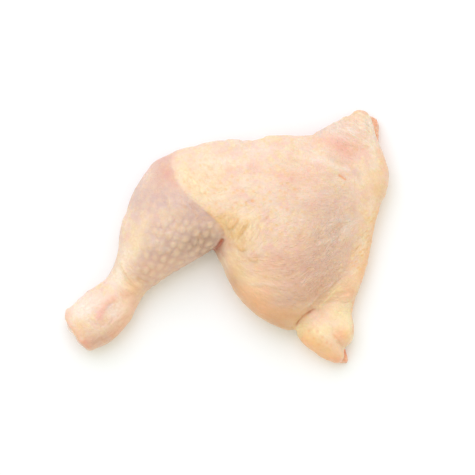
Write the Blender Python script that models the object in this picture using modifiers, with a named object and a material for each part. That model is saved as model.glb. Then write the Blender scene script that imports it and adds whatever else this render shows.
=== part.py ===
"""A raw chicken leg quarter: drumstick, thigh, back and tail in one piece, lying skin side up.

Run it with: blender --background --python part.py

The frame is in metres, with +Z up. +X runs from the hock to the cut back and +Y from the tail
to the hip. The origin is at the middle of the base of the object's box.
"""

import math
from dataclasses import astuple, dataclass

import bmesh
import bpy
import numpy as np
from mathutils import Vector

MM = 0.001

# The driving sizes of the whole piece, as it lies.
LENGTH = 200 * MM
WIDTH = 156.5 * MM
THIGH_HEIGHT = 43 * MM
CALF_HEIGHT = 39 * MM
ANKLE_HEIGHT = 23 * MM
HOCK_HEIGHT = 24 * MM
HIP_HEIGHT = 24 * MM
FLAP_HEIGHT = 17 * MM
TAIL_HEIGHT = 22 * MM
MEAT_THICKNESS = 10 * MM

# How finely the lofts, the blended skin and the finished solids are made.
RING_POINTS = 56
STEPS_PER_RIB = 6
CAP_STEPS = 5
BLEND_VOXEL = 1.5 * MM
BLEND_PASSES = 3
BODY_TRIANGLES = 9000
MEAT_VOXEL = 1.8 * MM
MEAT_TRIANGLES = 1500
JOINT_VOXEL = 1.0 * MM
JOINT_TRIANGLES = 500

SEAT_GAP = 0.35 * MM  # between a piece and the pocket that it sits in
EQUATOR = 0.4  # the level at which a section is widest, as a share of its height
FLOOR_DIP = 1.8 * MM  # how far soft meat would sag below the table, which flattens it
BODY_BEND = 1.3 * MM  # how gently the skin curves up from the table
MEAT_BEND = 0.6 * MM


@dataclass
class Rib:
    """An upright cross-section between two points of the outline, as seen from above."""

    outer_x: float
    outer_y: float
    inner_x: float
    inner_y: float
    top: float
    base: float = -FLOOR_DIP
    crest: float = 0.0  # how far the crest leans towards the inner point, -0.5 to 0.5
    fullness: float = 2.0  # 2 is a half ellipse, and more is squarer


def rib(outer, inner, top, **more):
    """A rib from two plan points in millimetres."""
    return Rib(*(MM * v for v in (*outer, *inner)), top, **more)


# From the cut hock to the knee. Outer is the shin's side, inner the side of the thigh.
DRUMSTICK = [
    rib((-99.8, -46.8), (-84.0, -69.8), 0.86 * HOCK_HEIGHT, base=1 * MM, fullness=2.5),
    rib((-94.0, -40.8), (-72.0, -64.2), HOCK_HEIGHT, base=0.0, fullness=2.3),
    rib((-85.4, -33.0), (-60.4, -52.6), HOCK_HEIGHT, base=1 * MM),
    rib((-75.4, -26.2), (-54.0, -40.4), ANKLE_HEIGHT, base=3 * MM),
    rib((-70.8, -19.6), (-49.6, -33.6), 1.08 * ANKLE_HEIGHT, base=3 * MM),
    rib((-67.0, -9.0), (-40.0, -25.6), 0.75 * CALF_HEIGHT, base=1 * MM),
    rib((-65.6, 3.8), (-24.8, -16.2), 0.92 * CALF_HEIGHT),
    rib((-62.0, 18.4), (-11.5, -9.0), CALF_HEIGHT),
    rib((-55.4, 33.8), (-2.6, -0.6), 1.02 * CALF_HEIGHT, crest=0.1),
    rib((-45.0, 47.4), (-1.6, 9.0), 0.98 * CALF_HEIGHT, crest=0.1),
    rib((-30.5, 54.8), (-2.6, 22.0), 0.86 * CALF_HEIGHT),
]

# From the knee across the thigh to the cut back. The first ribs fan out from the crook of the
# knee, and the last ones cross the hip and the back, which lie on the bare meat.
THIGH = [
    rib((-33.5, 50.8), (-6.0, -5.0), 0.72 * THIGH_HEIGHT, fullness=1.9),
    rib((-20.0, 57.0), (-7.6, -8.6), 0.82 * THIGH_HEIGHT, fullness=1.9),
    rib((-7.4, 60.0), (-2.6, -17.4), 0.9 * THIGH_HEIGHT, fullness=2.1),
    rib((4.0, 60.0), (1.8, -27.5), 0.96 * THIGH_HEIGHT, fullness=2.1),
    rib((12.5, 60.0), (10.2, -40.0), 0.99 * THIGH_HEIGHT, fullness=2.1),
    rib((22.0, 62.6), (21.0, -49.2), THIGH_HEIGHT, crest=0.05),
    rib((35.8, 63.6), (35.8, -56.4), THIGH_HEIGHT, crest=0.08),
    rib((46.5, 63.4), (44.5, -55.0), 0.95 * THIGH_HEIGHT, crest=0.1),
    rib((56.0, 65.4), (51.5, -47.0), 0.89 * THIGH_HEIGHT, crest=0.12),
    rib((65.4, 70.4), (59.5, -37.5), 0.79 * THIGH_HEIGHT, crest=0.12),
    rib((72.6, 75.8), (68.0, -27.5), 1.2 * HIP_HEIGHT, base=2 * MM, crest=0.12),
    rib((81.0, 79.4), (75.0, -17.5), 1.06 * HIP_HEIGHT, base=3 * MM, crest=0.1),
    rib((87.8, 76.0), (81.5, -8.0), 0.98 * HIP_HEIGHT, base=5 * MM, crest=0.05),
    rib((92.0, 62.0), (88.0, 0.0), 0.9 * HIP_HEIGHT, base=6 * MM),
    rib((96.4, 51.2), (92.6, 9.0), 0.84 * HIP_HEIGHT, base=5 * MM),
    rib((98.6, 43.4), (95.8, 19.0), 0.78 * HIP_HEIGHT, base=5 * MM),
]

# The skin flap down the cut back, and the tail at its end.
FLAP_AND_TAIL = [
    rib((60.0, 26.0), (97.0, 23.0), 1.16 * FLAP_HEIGHT, base=6 * MM),
    rib((56.0, 2.0), (91.6, 3.6), 1.16 * FLAP_HEIGHT, base=5 * MM),
    rib((52.0, -16.0), (87.4, -16.0), 1.16 * FLAP_HEIGHT, base=5 * MM),
    rib((50.0, -32.0), (82.4, -32.6), 1.14 * FLAP_HEIGHT, base=4 * MM),
    rib((47.6, -43.0), (78.2, -41.2), 0.86 * TAIL_HEIGHT, base=3 * MM),
    rib((44.4, -50.2), (76.8, -46.8), 0.93 * TAIL_HEIGHT, base=1 * MM),
    rib((42.4, -58.0), (78.0, -53.8), TAIL_HEIGHT, fullness=2.3),
    rib((48.4, -65.8), (77.8, -60.8), 0.98 * TAIL_HEIGHT, fullness=2.3),
    rib((60.0, -74.4), (74.6, -66.2), 0.82 * TAIL_HEIGHT, base=0.5 * MM),
    rib((68.0, -77.8), (72.8, -69.4), 0.68 * TAIL_HEIGHT, base=1 * MM),
]

# The meat laid bare by the cut. It runs under the skin from the hip to the tail.
BARE_MEAT = [
    rib((66.0, 60.0), (87.6, 76.0), 1.25 * MEAT_THICKNESS, fullness=2.2),
    rib((57.0, 55.0), (91.8, 74.0), 1.5 * MEAT_THICKNESS, fullness=2.4),
    rib((48.0, 47.0), (93.6, 69.8), 1.5 * MEAT_THICKNESS, fullness=2.5),
    rib((41.0, 38.0), (93.2, 63.0), 1.3 * MEAT_THICKNESS, fullness=2.6),
    rib((34.0, 26.0), (93.8, 50.0), 1.08 * MEAT_THICKNESS, fullness=2.8),
    rib((28.0, 14.0), (95.4, 33.0), 0.98 * MEAT_THICKNESS, fullness=2.8),
    rib((25.0, 0.0), (91.4, 15.0), 0.88 * MEAT_THICKNESS, fullness=2.8),
    rib((26.0, -12.0), (87.2, -1.0), 0.82 * MEAT_THICKNESS, fullness=2.8),
    rib((33.0, -25.0), (84.0, -14.0), 0.92 * MEAT_THICKNESS, fullness=2.6),
    rib((44.0, -36.0), (79.6, -28.0), 0.96 * MEAT_THICKNESS, fullness=2.6),
    rib((54.0, -46.0), (75.0, -41.0), 0.84 * MEAT_THICKNESS, fullness=2.4),
    rib((60.0, -56.0), (74.0, -54.0), 0.8 * MEAT_THICKNESS, fullness=2.3),
    rib((62.4, -63.0), (71.6, -62.6), 0.8 * MEAT_THICKNESS, fullness=2.2),
    rib((64.0, -69.4), (72.6, -68.4), 0.78 * MEAT_THICKNESS, fullness=2.2),
    rib((66.6, -75.4), (75.6, -76.0), 0.7 * MEAT_THICKNESS, fullness=2.4),
]
MEAT_LUMPS = 0.45 * MM  # how far the cut meat bulges and sinks
MEAT_GRAIN = 17 * MM  # how far apart its bulges are

# The joint end inside the cut hock.
HOCK_CENTRE = Vector((-85.1, -54.0, 10.4)) * MM
HOCK_TURN = math.radians(35.5)  # the way the shank points, below the -X direction
JOINT_RADIUS = 6.4 * MM
JOINT_REACH = 5.0 * MM
JOINT_SPREAD = 4.6 * MM

# Where two lofts meet: a plan path in millimetres, the reach of the blend and its passes.
SEAMS = [
    ([(-34.0, 54.0), (-18.0, 34.0), (-9.0, 16.0)], 12.0, 40),
    ([(60.0, -26.0), (60.0, 0.0), (64.0, 24.0), (84.0, 30.0), (97.0, 22.0)], 9.0, 40),
    ([(46.0, -50.0), (54.0, -42.0), (62.0, -33.0)], 4.5, 16),
]
ALL_OVER = ([(-60.0, 0.0), (60.0, 0.0)], 300.0, 1)


@dataclass
class Furrow:
    """A crease of the skin along a plan path in millimetres, which shallows towards its end."""

    path: list
    half_width: float
    depth: float
    end_depth: float = 0.0


@dataclass
class Swelling:
    """A round rise of the skin about a plan point in millimetres."""

    centre: tuple
    radius: float
    height: float


FURROWS = [
    # the crook of the knee, where the calf folds over the thigh
    Furrow([(-8.6, -13.0), (-8.2, -8.8), (-4.2, -4.0), (-1.0, 0.6), (-0.8, 4.4)], 2.0, 3.4, 1.8),
    Furrow([(-0.8, 4.4), (-4.2, 9.4), (-10.3, 14.8), (-17.0, 20.8)], 2.2, 1.8, 0.3),
    # between the thigh and the tail
    Furrow([(41.6, -55.2), (46.0, -50.0), (51.0, -46.0), (57.0, -41.6), (64.0, -33.0)], 2.0, 2.2),
    Furrow([(49.0, -45.6), (56.0, -38.4), (63.0, -31.0), (70.0, -25.0)], 2.0, 0.7),
    # the cleft of the tail
    Furrow([(73.6, -69.4), (70.4, -65.0), (66.6, -59.6), (63.4, -57.4)], 2.2, 3.0, 0.4),
    # the ankle
    Furrow([(-63.6, -18.0), (-61.0, -24.6), (-56.0, -29.4), (-50.0, -33.0)], 1.8, 0.3, 0.7),
    Furrow([(-63.0, -24.0), (-59.6, -30.0), (-54.0, -35.0)], 1.8, 0.3, 0.6),
    # the hollow on top of the hock
    Furrow([(-68.6, -39.4), (-73.0, -44.6), (-78.4, -49.6)], 3.0, 1.6, 0.6),
    # the bunched skin beside the crook
    Furrow([(6.4, -2.6), (9.6, 4.0), (15.0, 9.4)], 3.0, 0.8, 0.2),
    Furrow([(13.0, -13.0), (17.6, -14.4), (21.0, -11.0)], 3.2, 0.8, 0.3),
    # the hollow between the hip and the thigh
    Furrow([(54.0, 60.0), (66.0, 55.0), (76.0, 46.0)], 8.0, 1.4, 1.2),
]

SWELLINGS = [
    Swelling((-8.4, 4.6), 7.0, 1.3),
    Swelling((12.4, 0.0), 5.0, 1.0),
    Swelling((15.6, -8.4), 4.0, 0.9),
    Swelling((5.0, 7.0), 6.0, 0.8),
    Swelling((-77.0, -42.0), 5.0, 0.7),
    Swelling((-66.0, -49.0), 6.0, 0.8),
    Swelling((-73.0, -56.0), 7.0, 0.8),
    Swelling((54.0, -61.0), 8.0, 1.0),
    Swelling((73.4, -55.6), 5.0, 1.0),
    Swelling((80.0, 76.0), 4.0, 0.8),
    Swelling((-58.0, -22.0), 4.0, 0.6),
]

SKIN = ((0.90, 0.74, 0.60), 0.42)
MEAT = ((0.78, 0.36, 0.29), 0.35)
CARTILAGE = ((0.86, 0.80, 0.76), 0.3)


def clear_scene():
    """Removes every object of the open scene."""
    for old in list(bpy.data.objects):
        bpy.data.objects.remove(old, do_unlink=True)


def collection(name, hidden=False):
    """A new collection in the scene."""
    made = bpy.data.collections.new(name)
    made.hide_render = hidden
    bpy.context.scene.collection.children.link(made)
    return made


def material(name, colour, roughness):
    """A plain Principled material."""
    made = bpy.data.materials.new(name)
    made.use_nodes = True
    shader = made.node_tree.nodes["Principled BSDF"]
    shader.inputs["Base Color"].default_value = (*colour, 1.0)
    shader.inputs["Roughness"].default_value = roughness
    shader.inputs["Metallic"].default_value = 0.0
    return made


def catmull_rom(rows, steps):
    """The rows of numbers, with steps - 1 smooth rows between each two."""
    rows = np.array(rows, float)
    padded = np.vstack([2 * rows[0] - rows[1], rows, 2 * rows[-1] - rows[-2]])
    made = []
    for i in range(1, len(rows)):
        before, start, end, after = padded[i - 1 : i + 3]
        for t in np.arange(steps) / steps:
            made.append(
                0.5
                * (
                    2 * start
                    + (end - before) * t
                    + (2 * before - 5 * start + 4 * end - after) * t**2
                    + (3 * start - before - 3 * end + after) * t**3
                )
            )
    return np.array([*made, rows[-1]])


def ring(section, shrink=1.0, shift=(0.0, 0.0, 0.0)):
    """The closed ring of points of one section, shrunk about its middle and moved."""
    outer, inner = section[0:2], section[2:4]
    top, base, crest, fullness = section[4:8]
    equator = base + EQUATOR * (top - base)
    angle = np.arange(RING_POINTS) * 2 * math.pi / RING_POINTS
    power = 2 / fullness
    across = np.sign(np.cos(angle)) * np.abs(np.cos(angle)) ** power
    up = np.sign(np.sin(angle)) * np.abs(np.sin(angle)) ** power
    leaning = across + crest * (1 - across**2)
    share = (1 + shrink * leaning) / 2
    plan = outer[None, :] * (1 - share[:, None]) + inner[None, :] * share[:, None]
    height = np.where(up > 0, top - equator, equator - base)
    level = equator + shrink * up * height
    return np.column_stack([plan, level]) + np.array(shift)


def end_rings(section, outwards, length):
    """Rings that round off the end of a loft, from its last section outwards."""
    made = []
    for step in range(1, CAP_STEPS):
        turn = step / CAP_STEPS * math.pi / 2
        shift = length * math.sin(turn) * outwards
        made.append(ring(section, math.cos(turn), (*shift, 0.0)))
    return made


def heading(sections, from_last):
    """The unit plan direction that leads out of the first or the last section."""
    a, b = (-1, -2) if from_last else (0, 1)
    middle = [(sections[i][0:2] + sections[i][2:4]) / 2 for i in (a, b)]
    way = middle[0] - middle[1]
    return way / np.linalg.norm(way)


def loft(name, ribs, start_cap, end_cap):
    """A closed solid through the ribs. A cap of no length is a flat end."""
    sections = catmull_rom([astuple(r) for r in ribs], STEPS_PER_RIB)
    rings = [ring(s) for s in sections]
    if end_cap:
        rings += end_rings(sections[-1], heading(sections, True), end_cap)
    if start_cap:
        first = end_rings(sections[0], heading(sections, False), start_cap)
        rings = first[::-1] + rings

    shape = bmesh.new()
    loops = [[shape.verts.new(p) for p in points] for points in rings]
    for near, far in zip(loops[:-1], loops[1:]):
        for i in range(RING_POINTS):
            j = (i + 1) % RING_POINTS
            shape.faces.new((near[i], near[j], far[j], far[i]))
    shape.faces.new(loops[0][::-1])
    shape.faces.new(loops[-1])
    bmesh.ops.recalc_face_normals(shape, faces=shape.faces)
    mesh = bpy.data.meshes.new(name)
    shape.to_mesh(mesh)
    shape.free()
    return bpy.data.objects.new(name, mesh)


def baked(obj):
    """A mesh of the object with its modifiers applied."""
    bpy.context.view_layer.update()
    graph = bpy.context.evaluated_depsgraph_get()
    return bpy.data.meshes.new_from_object(obj.evaluated_get(graph))


def apply_modifiers(obj):
    """Gives the object its own evaluated mesh and takes its modifiers off."""
    mesh = baked(obj)
    obj.modifiers.clear()
    obj.data = mesh


def boolean(obj, operation, **operand):
    """Applies one Boolean to the object."""
    step = obj.modifiers.new(operation.lower(), "BOOLEAN")
    step.operation = operation
    step.solver = "EXACT"
    for key, value in operand.items():
        setattr(step, key, value)
    apply_modifiers(obj)


def remesh(obj, voxel, passes):
    """Blends the object into one even skin."""
    even = obj.modifiers.new("even", "REMESH")
    even.mode = "VOXEL"
    even.voxel_size = voxel
    if passes:
        soft = obj.modifiers.new("soft", "SMOOTH")
        soft.factor = 0.5
        soft.iterations = passes
    apply_modifiers(obj)


def decimate(obj, triangles):
    """Reduces the object to about this many triangles."""
    sides = sum(len(p.vertices) - 2 for p in obj.data.polygons)
    fewer = obj.modifiers.new("fewer", "DECIMATE")
    fewer.ratio = min(1.0, triangles / sides)
    fewer.use_collapse_triangulate = True
    apply_modifiers(obj)


def read_points(mesh):
    """The vertices of a mesh and their normals, as arrays."""
    points = np.empty(3 * len(mesh.vertices), np.float32)
    mesh.vertices.foreach_get("co", points)
    normals = np.empty_like(points)
    mesh.vertices.foreach_get("normal", normals)
    return points.reshape(-1, 3).astype(float), normals.reshape(-1, 3).astype(float)


def write_points(mesh, points):
    """Puts the vertices of a mesh at these points."""
    mesh.vertices.foreach_set("co", points.astype(np.float32).ravel())
    mesh.update()


def along_path(points, path):
    """How far each point is from a plan path, and how far along the path it lies, 0 to 1."""
    nearest = np.full(len(points), np.inf)
    share = np.zeros(len(points))
    for i, (a, b) in enumerate(zip(path[:-1], path[1:])):
        way = b - a
        part = np.clip((points[:, :2] - a) @ way / (way @ way), 0, 1)
        gap = np.linalg.norm(points[:, :2] - a - part[:, None] * way, axis=1)
        closer = gap < nearest
        nearest[closer] = gap[closer]
        share[closer] = (i + part[closer]) / (len(path) - 1)
    return nearest, share


def soften(obj, path, radius, passes):
    """Blends the skin near a plan path, so that no seam shows where two lofts meet."""
    mesh = obj.data
    points, _ = read_points(mesh)
    edges = np.empty(2 * len(mesh.edges), np.int32)
    mesh.edges.foreach_get("vertices", edges)
    first, second = edges.reshape(-1, 2).T
    neighbours = np.bincount(edges, minlength=len(points))[:, None]
    gap, _ = along_path(points, np.array(path) * MM)
    weight = np.exp(-((gap / (radius * MM)) ** 2))[:, None]
    for _ in range(passes):
        total = np.zeros_like(points)
        np.add.at(total, first, points[second])
        np.add.at(total, second, points[first])
        points += weight * (total / neighbours - points)
    write_points(mesh, points)


def press_relief(obj):
    """Presses the furrows into the upper skin and raises the swellings."""
    points, normals = read_points(obj.data)
    rise = np.zeros(len(points))
    for furrow in FURROWS:
        gap, share = along_path(points, catmull_rom(furrow.path, 4) * MM)
        depth = furrow.depth + share * (furrow.end_depth - furrow.depth)
        rise -= depth * MM * np.exp(-((gap / (furrow.half_width * MM)) ** 2))
    for swelling in SWELLINGS:
        gap = np.linalg.norm(points[:, :2] - np.array(swelling.centre) * MM, axis=1)
        rise += swelling.height * MM * np.exp(-((gap / (swelling.radius * MM)) ** 2))
    facing_up = np.clip(normals[:, 2] * 1.6 + 0.5, 0, 1)
    write_points(obj.data, points + normals * (rise * facing_up)[:, None])


def rest_on_floor(obj, bend):
    """Flattens what would lie below the table, and curves up from it over twice the bend."""
    points, _ = read_points(obj.data)
    level = points[:, 2]
    curved = (level + bend) ** 2 / (4 * bend)
    points[:, 2] = np.where(level < -bend, 0.0, np.where(level < bend, curved, level))
    write_points(obj.data, points)


def pocket_for(obj):
    """A cutter a little larger than the object all round."""
    cutter = bpy.data.objects.new(obj.name + "_pocket", obj.data.copy())
    cutter.hide_render = True
    cutter.display_type = "WIRE"
    bpy.context.scene.collection.objects.link(cutter)
    larger = cutter.modifiers.new("larger", "DISPLACE")
    larger.strength = SEAT_GAP
    larger.mid_level = 0.0
    apply_modifiers(cutter)
    points, _ = read_points(cutter.data)
    points[points[:, 2] < SEAT_GAP, 2] -= FLOOR_DIP
    write_points(cutter.data, points)
    return cutter


def sphere(name, radius, centre, stretch):
    """An ellipsoid."""
    shape = bmesh.new()
    bmesh.ops.create_uvsphere(shape, u_segments=24, v_segments=14, radius=radius)
    bmesh.ops.scale(shape, vec=stretch, verts=shape.verts)
    bmesh.ops.translate(shape, vec=centre, verts=shape.verts)
    mesh = bpy.data.meshes.new(name)
    shape.to_mesh(mesh)
    shape.free()
    return bpy.data.objects.new(name, mesh)


def make_body(parts):
    """The skin-covered body: its lofts joined, blended, creased and set on the table."""
    thigh = loft("leg_quarter", THIGH, 9 * MM, 2.2 * MM)
    parts.objects.link(thigh)
    limbs = collection("limbs", hidden=True)
    limbs.objects.link(loft("drumstick", DRUMSTICK, 2 * MM, 8 * MM))
    limbs.objects.link(loft("flap_and_tail", FLAP_AND_TAIL, 6 * MM, 1.6 * MM))
    boolean(thigh, "UNION", operand_type="COLLECTION", collection=limbs)
    for limb in list(limbs.objects):
        bpy.data.objects.remove(limb)
    bpy.data.collections.remove(limbs)
    remesh(thigh, BLEND_VOXEL, BLEND_PASSES)
    for seam in SEAMS:
        soften(thigh, *seam)
    press_relief(thigh)
    soften(thigh, *ALL_OVER)
    rest_on_floor(thigh, BODY_BEND)
    return thigh


def crumple(obj, height, pitch):
    """Gives a cut surface soft bulges, as meat has."""
    points, normals = read_points(obj.data)
    x, y, z = (2 * math.pi * points / pitch).T
    along = np.sin(x + 1.3 * np.sin(0.7 * y)) * np.cos(0.8 * y + np.sin(0.6 * x))
    swell = (along + np.sin(1.3 * z + y)) / 2
    write_points(obj.data, points + normals * (height * swell)[:, None])


def make_bare_meat(parts):
    """The meat that shows at the hip, along the cut back, at the tail and underneath."""
    meat = loft("bare_meat", BARE_MEAT, 2 * MM, 2 * MM)
    parts.objects.link(meat)
    remesh(meat, MEAT_VOXEL, 2)
    crumple(meat, MEAT_LUMPS, MEAT_GRAIN)
    rest_on_floor(meat, MEAT_BEND)
    decimate(meat, MEAT_TRIANGLES)
    return meat


def make_hock_joint(parts):
    """The joint end in the cut hock: a short shank with two knuckles side by side."""
    joint = sphere("hock_joint", JOINT_RADIUS, (0, 0, 0), (1.25, 1.3, 1.05))
    parts.objects.link(joint)
    knuckles = collection("knuckles", hidden=True)
    for side in (-1, 1):
        centre = (-JOINT_REACH, side * JOINT_SPREAD, 0)
        knuckles.objects.link(sphere("knuckle", JOINT_RADIUS, centre, (0.9, 0.8, 0.95)))
    boolean(joint, "UNION", operand_type="COLLECTION", collection=knuckles)
    for knuckle in list(knuckles.objects):
        bpy.data.objects.remove(knuckle)
    bpy.data.collections.remove(knuckles)
    remesh(joint, JOINT_VOXEL, 2)
    decimate(joint, JOINT_TRIANGLES)
    joint.rotation_euler = (0, 0, HOCK_TURN)
    joint.location = HOCK_CENTRE
    return joint


def fit_to_size(parts):
    """Brings the whole to its driving length and width, with the origin at its base."""
    bpy.context.view_layer.update()
    corners = []
    for piece in parts.objects:
        piece.data.transform(piece.matrix_world)
        piece.matrix_world.identity()
        corners.append(read_points(piece.data)[0])
    everything = np.vstack(corners)
    low, high = everything.min(axis=0), everything.max(axis=0)
    scale = np.array([LENGTH, WIDTH, high[2] - low[2]]) / (high - low)
    middle = np.array([*(low[:2] + high[:2]) / 2, low[2]])
    for piece, points in zip(parts.objects, corners):
        write_points(piece.data, (points - middle) * scale)


def main():
    """Builds the leg quarter."""
    clear_scene()
    parts = collection("chicken_leg_quarter")
    body = make_body(parts)
    meat = make_bare_meat(parts)
    joint = make_hock_joint(parts)
    fit_to_size(parts)
    decimate(body, BODY_TRIANGLES)
    for seated in (meat, joint):
        cutter = pocket_for(seated)
        boolean(body, "DIFFERENCE", object=cutter)
        bpy.data.objects.remove(cutter)
    for piece, (colour, roughness) in ((body, SKIN), (meat, MEAT), (joint, CARTILAGE)):
        piece.data.materials.clear()
        piece.data.materials.append(material(piece.name, colour, roughness))


main()
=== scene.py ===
"""Raw chicken leg quarter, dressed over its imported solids.

The skin, the bare meat along the cut and the joint end in the hock each replace the plain solid of
the same part. Marks on the skin are placed by the pixels of the photograph, which looks straight
down, and are laid on the surface that lies under them.
"""

import logging
from collections.abc import Sequence
from dataclasses import asdict, dataclass, field
from enum import Enum

import bmesh
import bpy
import numpy as np
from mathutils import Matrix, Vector
from mathutils.bvhtree import BVHTree
from mathutils.kdtree import KDTree


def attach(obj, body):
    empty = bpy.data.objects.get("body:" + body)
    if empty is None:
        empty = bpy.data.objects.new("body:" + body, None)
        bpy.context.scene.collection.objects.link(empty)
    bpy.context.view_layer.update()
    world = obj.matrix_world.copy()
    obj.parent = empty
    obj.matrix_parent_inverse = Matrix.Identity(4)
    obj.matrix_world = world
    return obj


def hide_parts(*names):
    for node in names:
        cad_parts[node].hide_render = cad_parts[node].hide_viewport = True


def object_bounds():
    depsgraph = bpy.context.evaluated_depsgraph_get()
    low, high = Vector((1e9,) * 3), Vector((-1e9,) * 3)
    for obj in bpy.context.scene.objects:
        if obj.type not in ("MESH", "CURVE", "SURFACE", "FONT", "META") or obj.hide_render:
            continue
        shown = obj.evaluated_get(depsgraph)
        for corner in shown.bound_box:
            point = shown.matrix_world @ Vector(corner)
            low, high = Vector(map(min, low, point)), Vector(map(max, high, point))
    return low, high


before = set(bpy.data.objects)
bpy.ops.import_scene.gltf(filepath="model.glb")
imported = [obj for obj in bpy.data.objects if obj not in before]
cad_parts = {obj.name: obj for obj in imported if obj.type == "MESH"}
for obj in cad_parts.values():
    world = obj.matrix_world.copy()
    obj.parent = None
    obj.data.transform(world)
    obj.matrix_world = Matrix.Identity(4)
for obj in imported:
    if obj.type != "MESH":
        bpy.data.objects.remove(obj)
CAD_LOW, CAD_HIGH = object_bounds()

LOG = logging.getLogger("leg_quarter")
MM = 0.001
PHOTO_SIDE = 475
SMALL = 1e-9
WELD = 1e-6
GRAIN_STEP = 30.0
GRAIN_FLOOR = 0.03

Pixel = tuple[float, float]
Path = tuple[Pixel, ...]
Colour = tuple[float, float, float]
Range = tuple[float, float]
Array = np.ndarray
Socket = bpy.types.NodeSocket
Material = bpy.types.Material


class Body(Enum):
    """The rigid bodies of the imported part."""

    ROOT = "root"


class Node(Enum):
    """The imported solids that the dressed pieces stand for."""

    SKIN = "leg_quarter"
    MEAT = "bare_meat"
    JOINT = "hock_joint"


class Slot(Enum):
    """The record's material slots."""

    SKIN = "skin"
    MEAT = "meat"
    CARTILAGE = "cartilage"


class Tint(Enum):
    """The colours that lie over the cream of the skin, from the lowest layer up."""

    MAUVE = "mauve"
    # Lean meat showing through, and painted shade along the drumstick's rim and underside and in the
    # crook.
    LEAN = "lean"
    ROSE = "rose"
    FAT = "fat"
    BUTTER = "butter"
    # The skin's tan, and painted shade on the lower edges, under the drumstick and along the folds.
    TAN = "tan"
    # Ochre fat, and painted shade on the low sides of the folds in the crook.
    OCHRE = "ochre"
    PEACH = "peach"
    BLUSH = "blush"
    VEIL = "veil"
    # Pale film, and painted highlights on ridges, on furrow lips and where the skin slopes away from the
    # lamp.
    PEARL = "pearl"
    FOLLICLE = "follicle"
    # Painted shade in the furrows and the pinched wrinkles.
    FOLD = "fold"
    RIM = "rim"
    # Painted shade, red-brown, in the deep creases.
    CREASE = "crease"
    SPECK = "speck"
    FLESH = "flesh"


class Grain(Enum):
    """The ways that fine wrinkles run over the skin, in degrees clockwise as seen from above."""

    LEVEL = 0
    FALLING = 30
    DIVING = 60
    UPRIGHT = 90
    CLIMBING = 120
    RISING = 150

    @property
    def mask(self) -> str:
        """Names the mask that the skin keeps for this way."""
        return self.name.lower()


Masks = dict[Tint, Array]
Shares = dict[Grain, Array]


@dataclass(frozen=True)
class Plan:
    """The photograph's pixels, laid over the part as it is seen from straight above."""

    middle: Pixel = (226.75, 237.0)
    length: float = 325.0
    throw: float = 5.0
    level: float = 14.0

    @property
    def pixel(self) -> float:
        """Gives the millimetres on the part for one pixel."""
        return (CAD_HIGH.x - CAD_LOW.x) / MM / self.length

    @property
    def distance(self) -> float:
        """Gives how far the camera hangs over the level that is seen at scale, in millimetres."""
        return PHOTO_SIDE * self.pixel * self.throw

    def over(self, points: Array) -> Array:
        """Finds the pixels that lie over points of the part.

        Args:
            points: Points in millimetres, one a row.

        Returns:
            Their pixels, one a row.
        """
        across = self.middle[0] + points[:, 0] / self.pixel
        down = self.middle[1] - points[:, 1] / self.pixel
        nearer = self.distance / (self.distance + self.level - points[:, 2])
        centre = PHOTO_SIDE / 2
        flat = np.stack((across, down), axis=1) - centre
        return centre + flat * nearer[:, None]

    def under(self, pixels: Array) -> Array:
        """Finds the places on the table plane under pixels.

        Args:
            pixels: Pixels, one a row.

        Returns:
            X and Y in millimetres, one a row.
        """
        x = (pixels[:, 0] - self.middle[0]) * self.pixel
        y = (self.middle[1] - pixels[:, 1]) * self.pixel
        return np.stack((x, y), axis=1)


PLAN = Plan()


def ease(values: Array, low: float, high: float) -> Array:
    """Rises smoothly from 0 at one value to 1 at another.

    Args:
        values: The values to grade.
        low: The value where the rise starts.
        high: The value where it ends.

    Returns:
        Numbers from 0 to 1.
    """
    share = np.clip((values - low) / (high - low), 0.0, 1.0)
    return share * share * (3.0 - 2.0 * share)


def smooth_line(points: Path, closed: bool = False, step: float = 3.0) -> Array:
    """Draws a smooth curve through a few points.

    Args:
        points: The points that the curve passes through, in pixels.
        closed: Whether the curve comes back to its first point.
        step: The distance between the points that are returned, in pixels.

    Returns:
        Points along the curve, one a row.
    """
    corners = np.array(points, float)
    count = len(corners)
    if closed:
        padded = np.concatenate((corners[-1:], corners, corners[:2]))
        spans = count
    else:
        before = 2 * corners[:1] - corners[1:2]
        after = 2 * corners[-1:] - corners[-2:-1]
        padded = np.concatenate((before, corners, after))
        spans = count - 1
    drawn = []
    for i in range(spans):
        a, b, c, d = padded[i : i + 4]
        pieces = max(1, int(np.ceil(np.linalg.norm(c - b) / step)))
        for k in range(pieces):
            t = k / pieces
            bend = 2 * b + (c - a) * t + (2 * a - 5 * b + 4 * c - d) * t**2
            drawn.append(0.5 * (bend + (3 * b - a - 3 * c + d) * t**3))
    drawn.append(padded[spans + 1])
    return np.array(drawn)


def nearest_on(line: Array, seen: Array) -> tuple[Array, Array, Array]:
    """Measures how far points lie from a line.

    Args:
        line: Points along the line, one a row.
        seen: The points to measure from, one a row.

    Returns:
        Each point's distance, the side it lies on (1 or -1), and how far along the line the
        nearest place is, as a share of its length.
    """
    best = np.full(len(seen), np.inf)
    side = np.ones(len(seen))
    place = np.zeros(len(seen))
    lengths = np.linalg.norm(np.diff(line, axis=0), axis=1)
    starts = np.concatenate(((0.0,), np.cumsum(lengths)))
    total = max(starts[-1], SMALL)
    for start, stop, length, before in zip(line[:-1], line[1:], lengths, starts):
        run = stop - start
        offset = seen - start
        share = np.clip(offset @ run / max(length**2, SMALL), 0.0, 1.0)
        gap = offset - share[:, None] * run
        distance = np.hypot(gap[:, 0], gap[:, 1])
        closer = distance < best
        best[closer] = distance[closer]
        turn = run[0] * offset[:, 1] - run[1] * offset[:, 0]
        side[closer] = np.where(turn[closer] >= 0, 1.0, -1.0)
        place[closer] = (before + share[closer] * length) / total
    return best, side, place


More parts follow.
